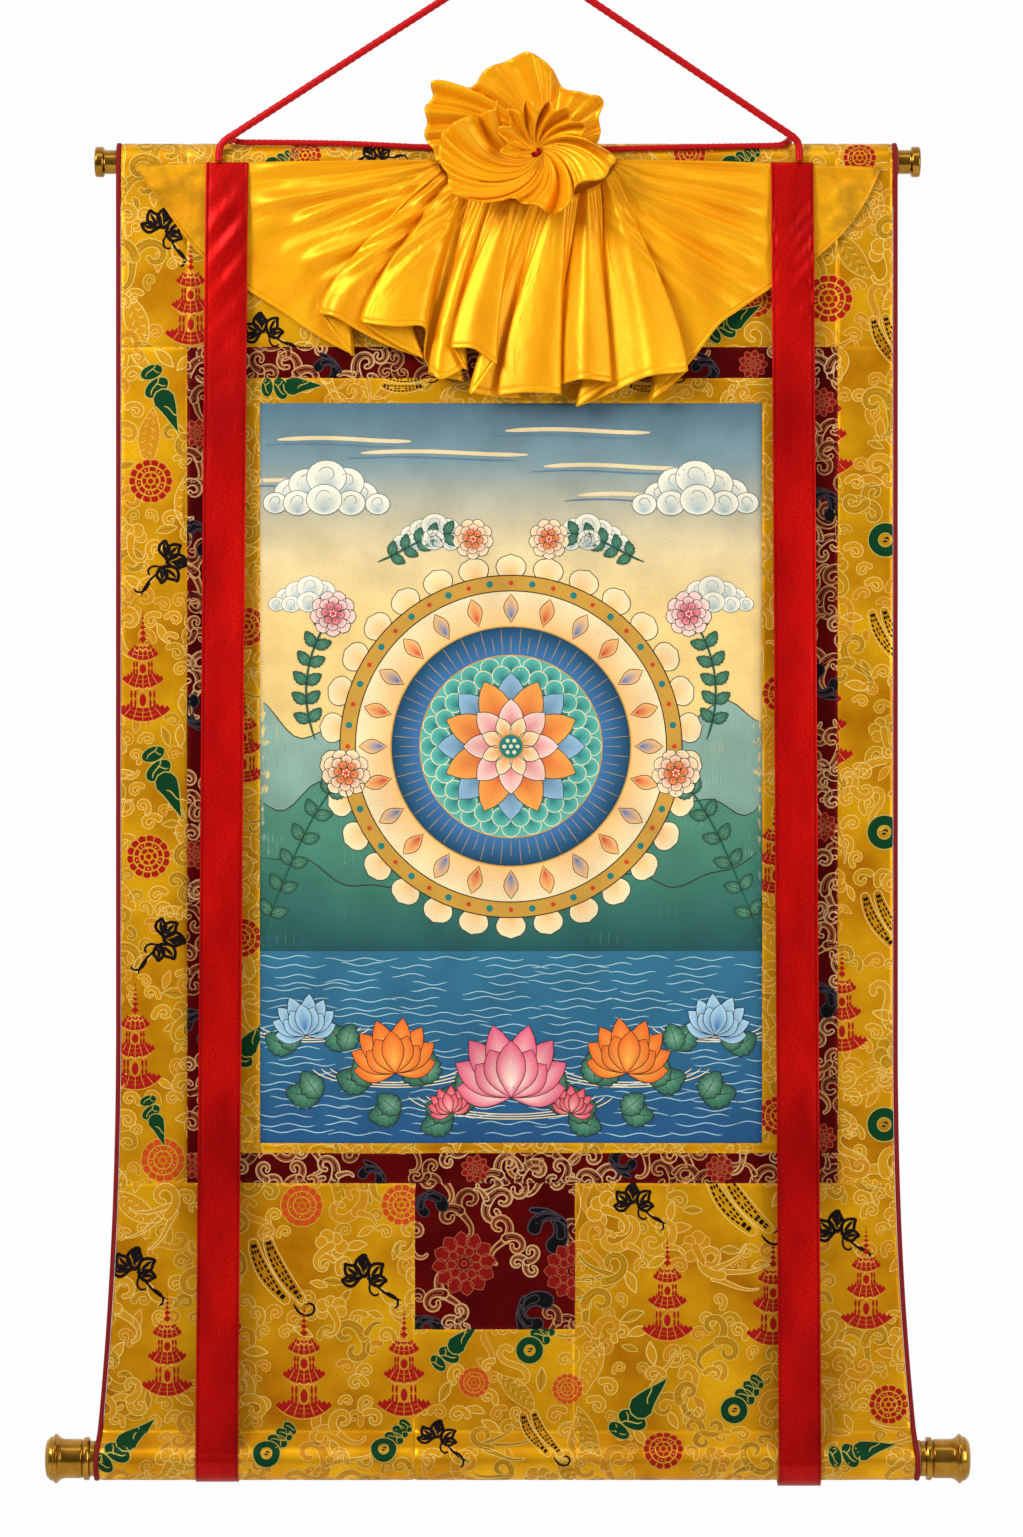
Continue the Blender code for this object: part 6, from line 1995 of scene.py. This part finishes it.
def turned_end(node, profile, axis, side):
    """The profile's corners rounded by a curve through close pairs of points, then spun in 72 steps."""
    low, high = box_of(node)
    inner = high[0] if side < 0 else low[0]
    rows = np.repeat(np.array(profile), 2, axis=0)
    rows[1:-1:2] += (rows[2::2] - rows[1:-1:2]) * 0.12
    rows[2::2] += (rows[1:-1:2] - rows[2::2]) * 0.12
    line = smooth_curve(rows, 2)
    turn = np.linspace(0, 2 * math.pi, 73)[None, :-1]
    radius = np.maximum(line[:, 1:], 0.01)
    x = inner + side * line[:, :1] + 0 * turn
    points = np.stack([x, axis[0] + radius * np.cos(turn), axis[1] + radius * np.sin(turn)],
                      axis=-1).reshape(-1, 3)
    faces = tube_faces(len(line), turn.size)
    piece = new_object(node + "_brass", points, faces if side > 0 else faces[:, ::-1], brass)
    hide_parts(node)
    return piece


for side, word in ((-1, "left"), (1, "right")):
    turned_end("cap_" + word, CAP_PROFILE, (SLEEVE_RADIUS, 0.0), side)
    turned_end("knob_" + word, KNOB_PROFILE, (0.0, FOOT_AXIS), side)
    print("turned: cap_" + word, "and knob_" + word)

# %% [markdown]
# ## Light and floor
# Soft light from a big window-like panel at the upper left and a weaker one at the right models the folds. A
# third above the front brings out the roll at the foot. The pale surroundings are white behind and dimmer in
# front, so that the panels show in the gloss.

# %% Light
def soft_panel(name, place, size, watts, towards):
    """An area light that faces a point; place and towards in mm from the rod's middle."""
    light = bpy.data.lights.new(name, "AREA")
    light.shape, light.size, light.size_y, light.energy = "RECTANGLE", size[0] * MM, size[1] * MM, watts
    panel = bpy.data.objects.new(name, light)
    spot, aim = to_model(place), to_model(towards)
    panel.location = spot
    away = np.array(spot) - np.array(aim)
    flat = math.hypot(away[0], away[1])
    panel.rotation_euler = (math.atan2(flat, away[2]), 0, math.atan2(away[1], away[0]) + math.pi / 2)
    bpy.context.collection.objects.link(panel)


soft_panel("window panel", (-2000, -2000, 1150), (1300, 1500), 90, (0, 0, -350))
soft_panel("fill panel", (2500, -2300, -100), (1200, 2000), 50, (0, 0, -450))
soft_panel("overhead panel", (200, -1300, 1700), (2200, 700), 8, (0, 0, -500))

world = bpy.data.worlds.new("pale studio")
bpy.context.scene.world = world
world.use_nodes = True
tree = world.node_tree
sky = tree.nodes["Background"]
place = add(tree, "TexCoord")
apart = add(tree, "SeparateXYZ", {"Vector": place.outputs["Generated"]})
behind = add(tree, "MapRange", {"Value": apart.outputs["Y"], "From Min": -0.35, "From Max": 0.35})
height = add(tree, "MapRange", {"Value": apart.outputs["Z"], "From Min": -0.1, "From Max": 0.9})
front = add(tree, "Mix", {MIX: height, MIX_A: (0.16, 0.16, 0.16, 1), MIX_B: (0.42, 0.42, 0.42, 1)})
tone = add(tree, "Mix", {MIX: behind, MIX_A: front, MIX_B: (0.99, 0.99, 0.99, 1)})
feed(tree, sky, {"Color": tone})
bpy.context.scene.view_settings.view_transform = "Standard"
print("three panels of light and a pale studio")

# %% Floor
# Matt paint far below the scroll: it sends up a little pale light and shows no reflections.
floor_white, tree, shader = new_finish("painted floor, matt white", Roughness=0.8)
place = add(tree, "TexCoord")
grit = add(tree, "TexNoise", {"Vector": place.outputs["Object"], "Scale": 120.0})
tone = add(tree, "Mix", {MIX: grit, MIX_A: linear("#E4E3E0"), MIX_B: linear("#EDECEA")})
feed(tree, shader, {"Base Color": tone})
FLOOR_Z, FLOOR_HALF = -2000.0, 3000.0
corners = np.array([(-1, -1), (1, -1), (1, 1), (-1, 1)]) * FLOOR_HALF
floor = bpy.data.meshes.new("floor")
floor.from_pydata(to_model(np.column_stack([corners, np.full(4, FLOOR_Z)])).tolist(), [], [(0, 1, 2, 3)])
floor.materials.append(floor_white)
stage_floor = bpy.data.objects.new("floor", floor)
bpy.context.collection.objects.link(stage_floor)
print("floor", round(-FLOOR_Z), "mm under the rod")
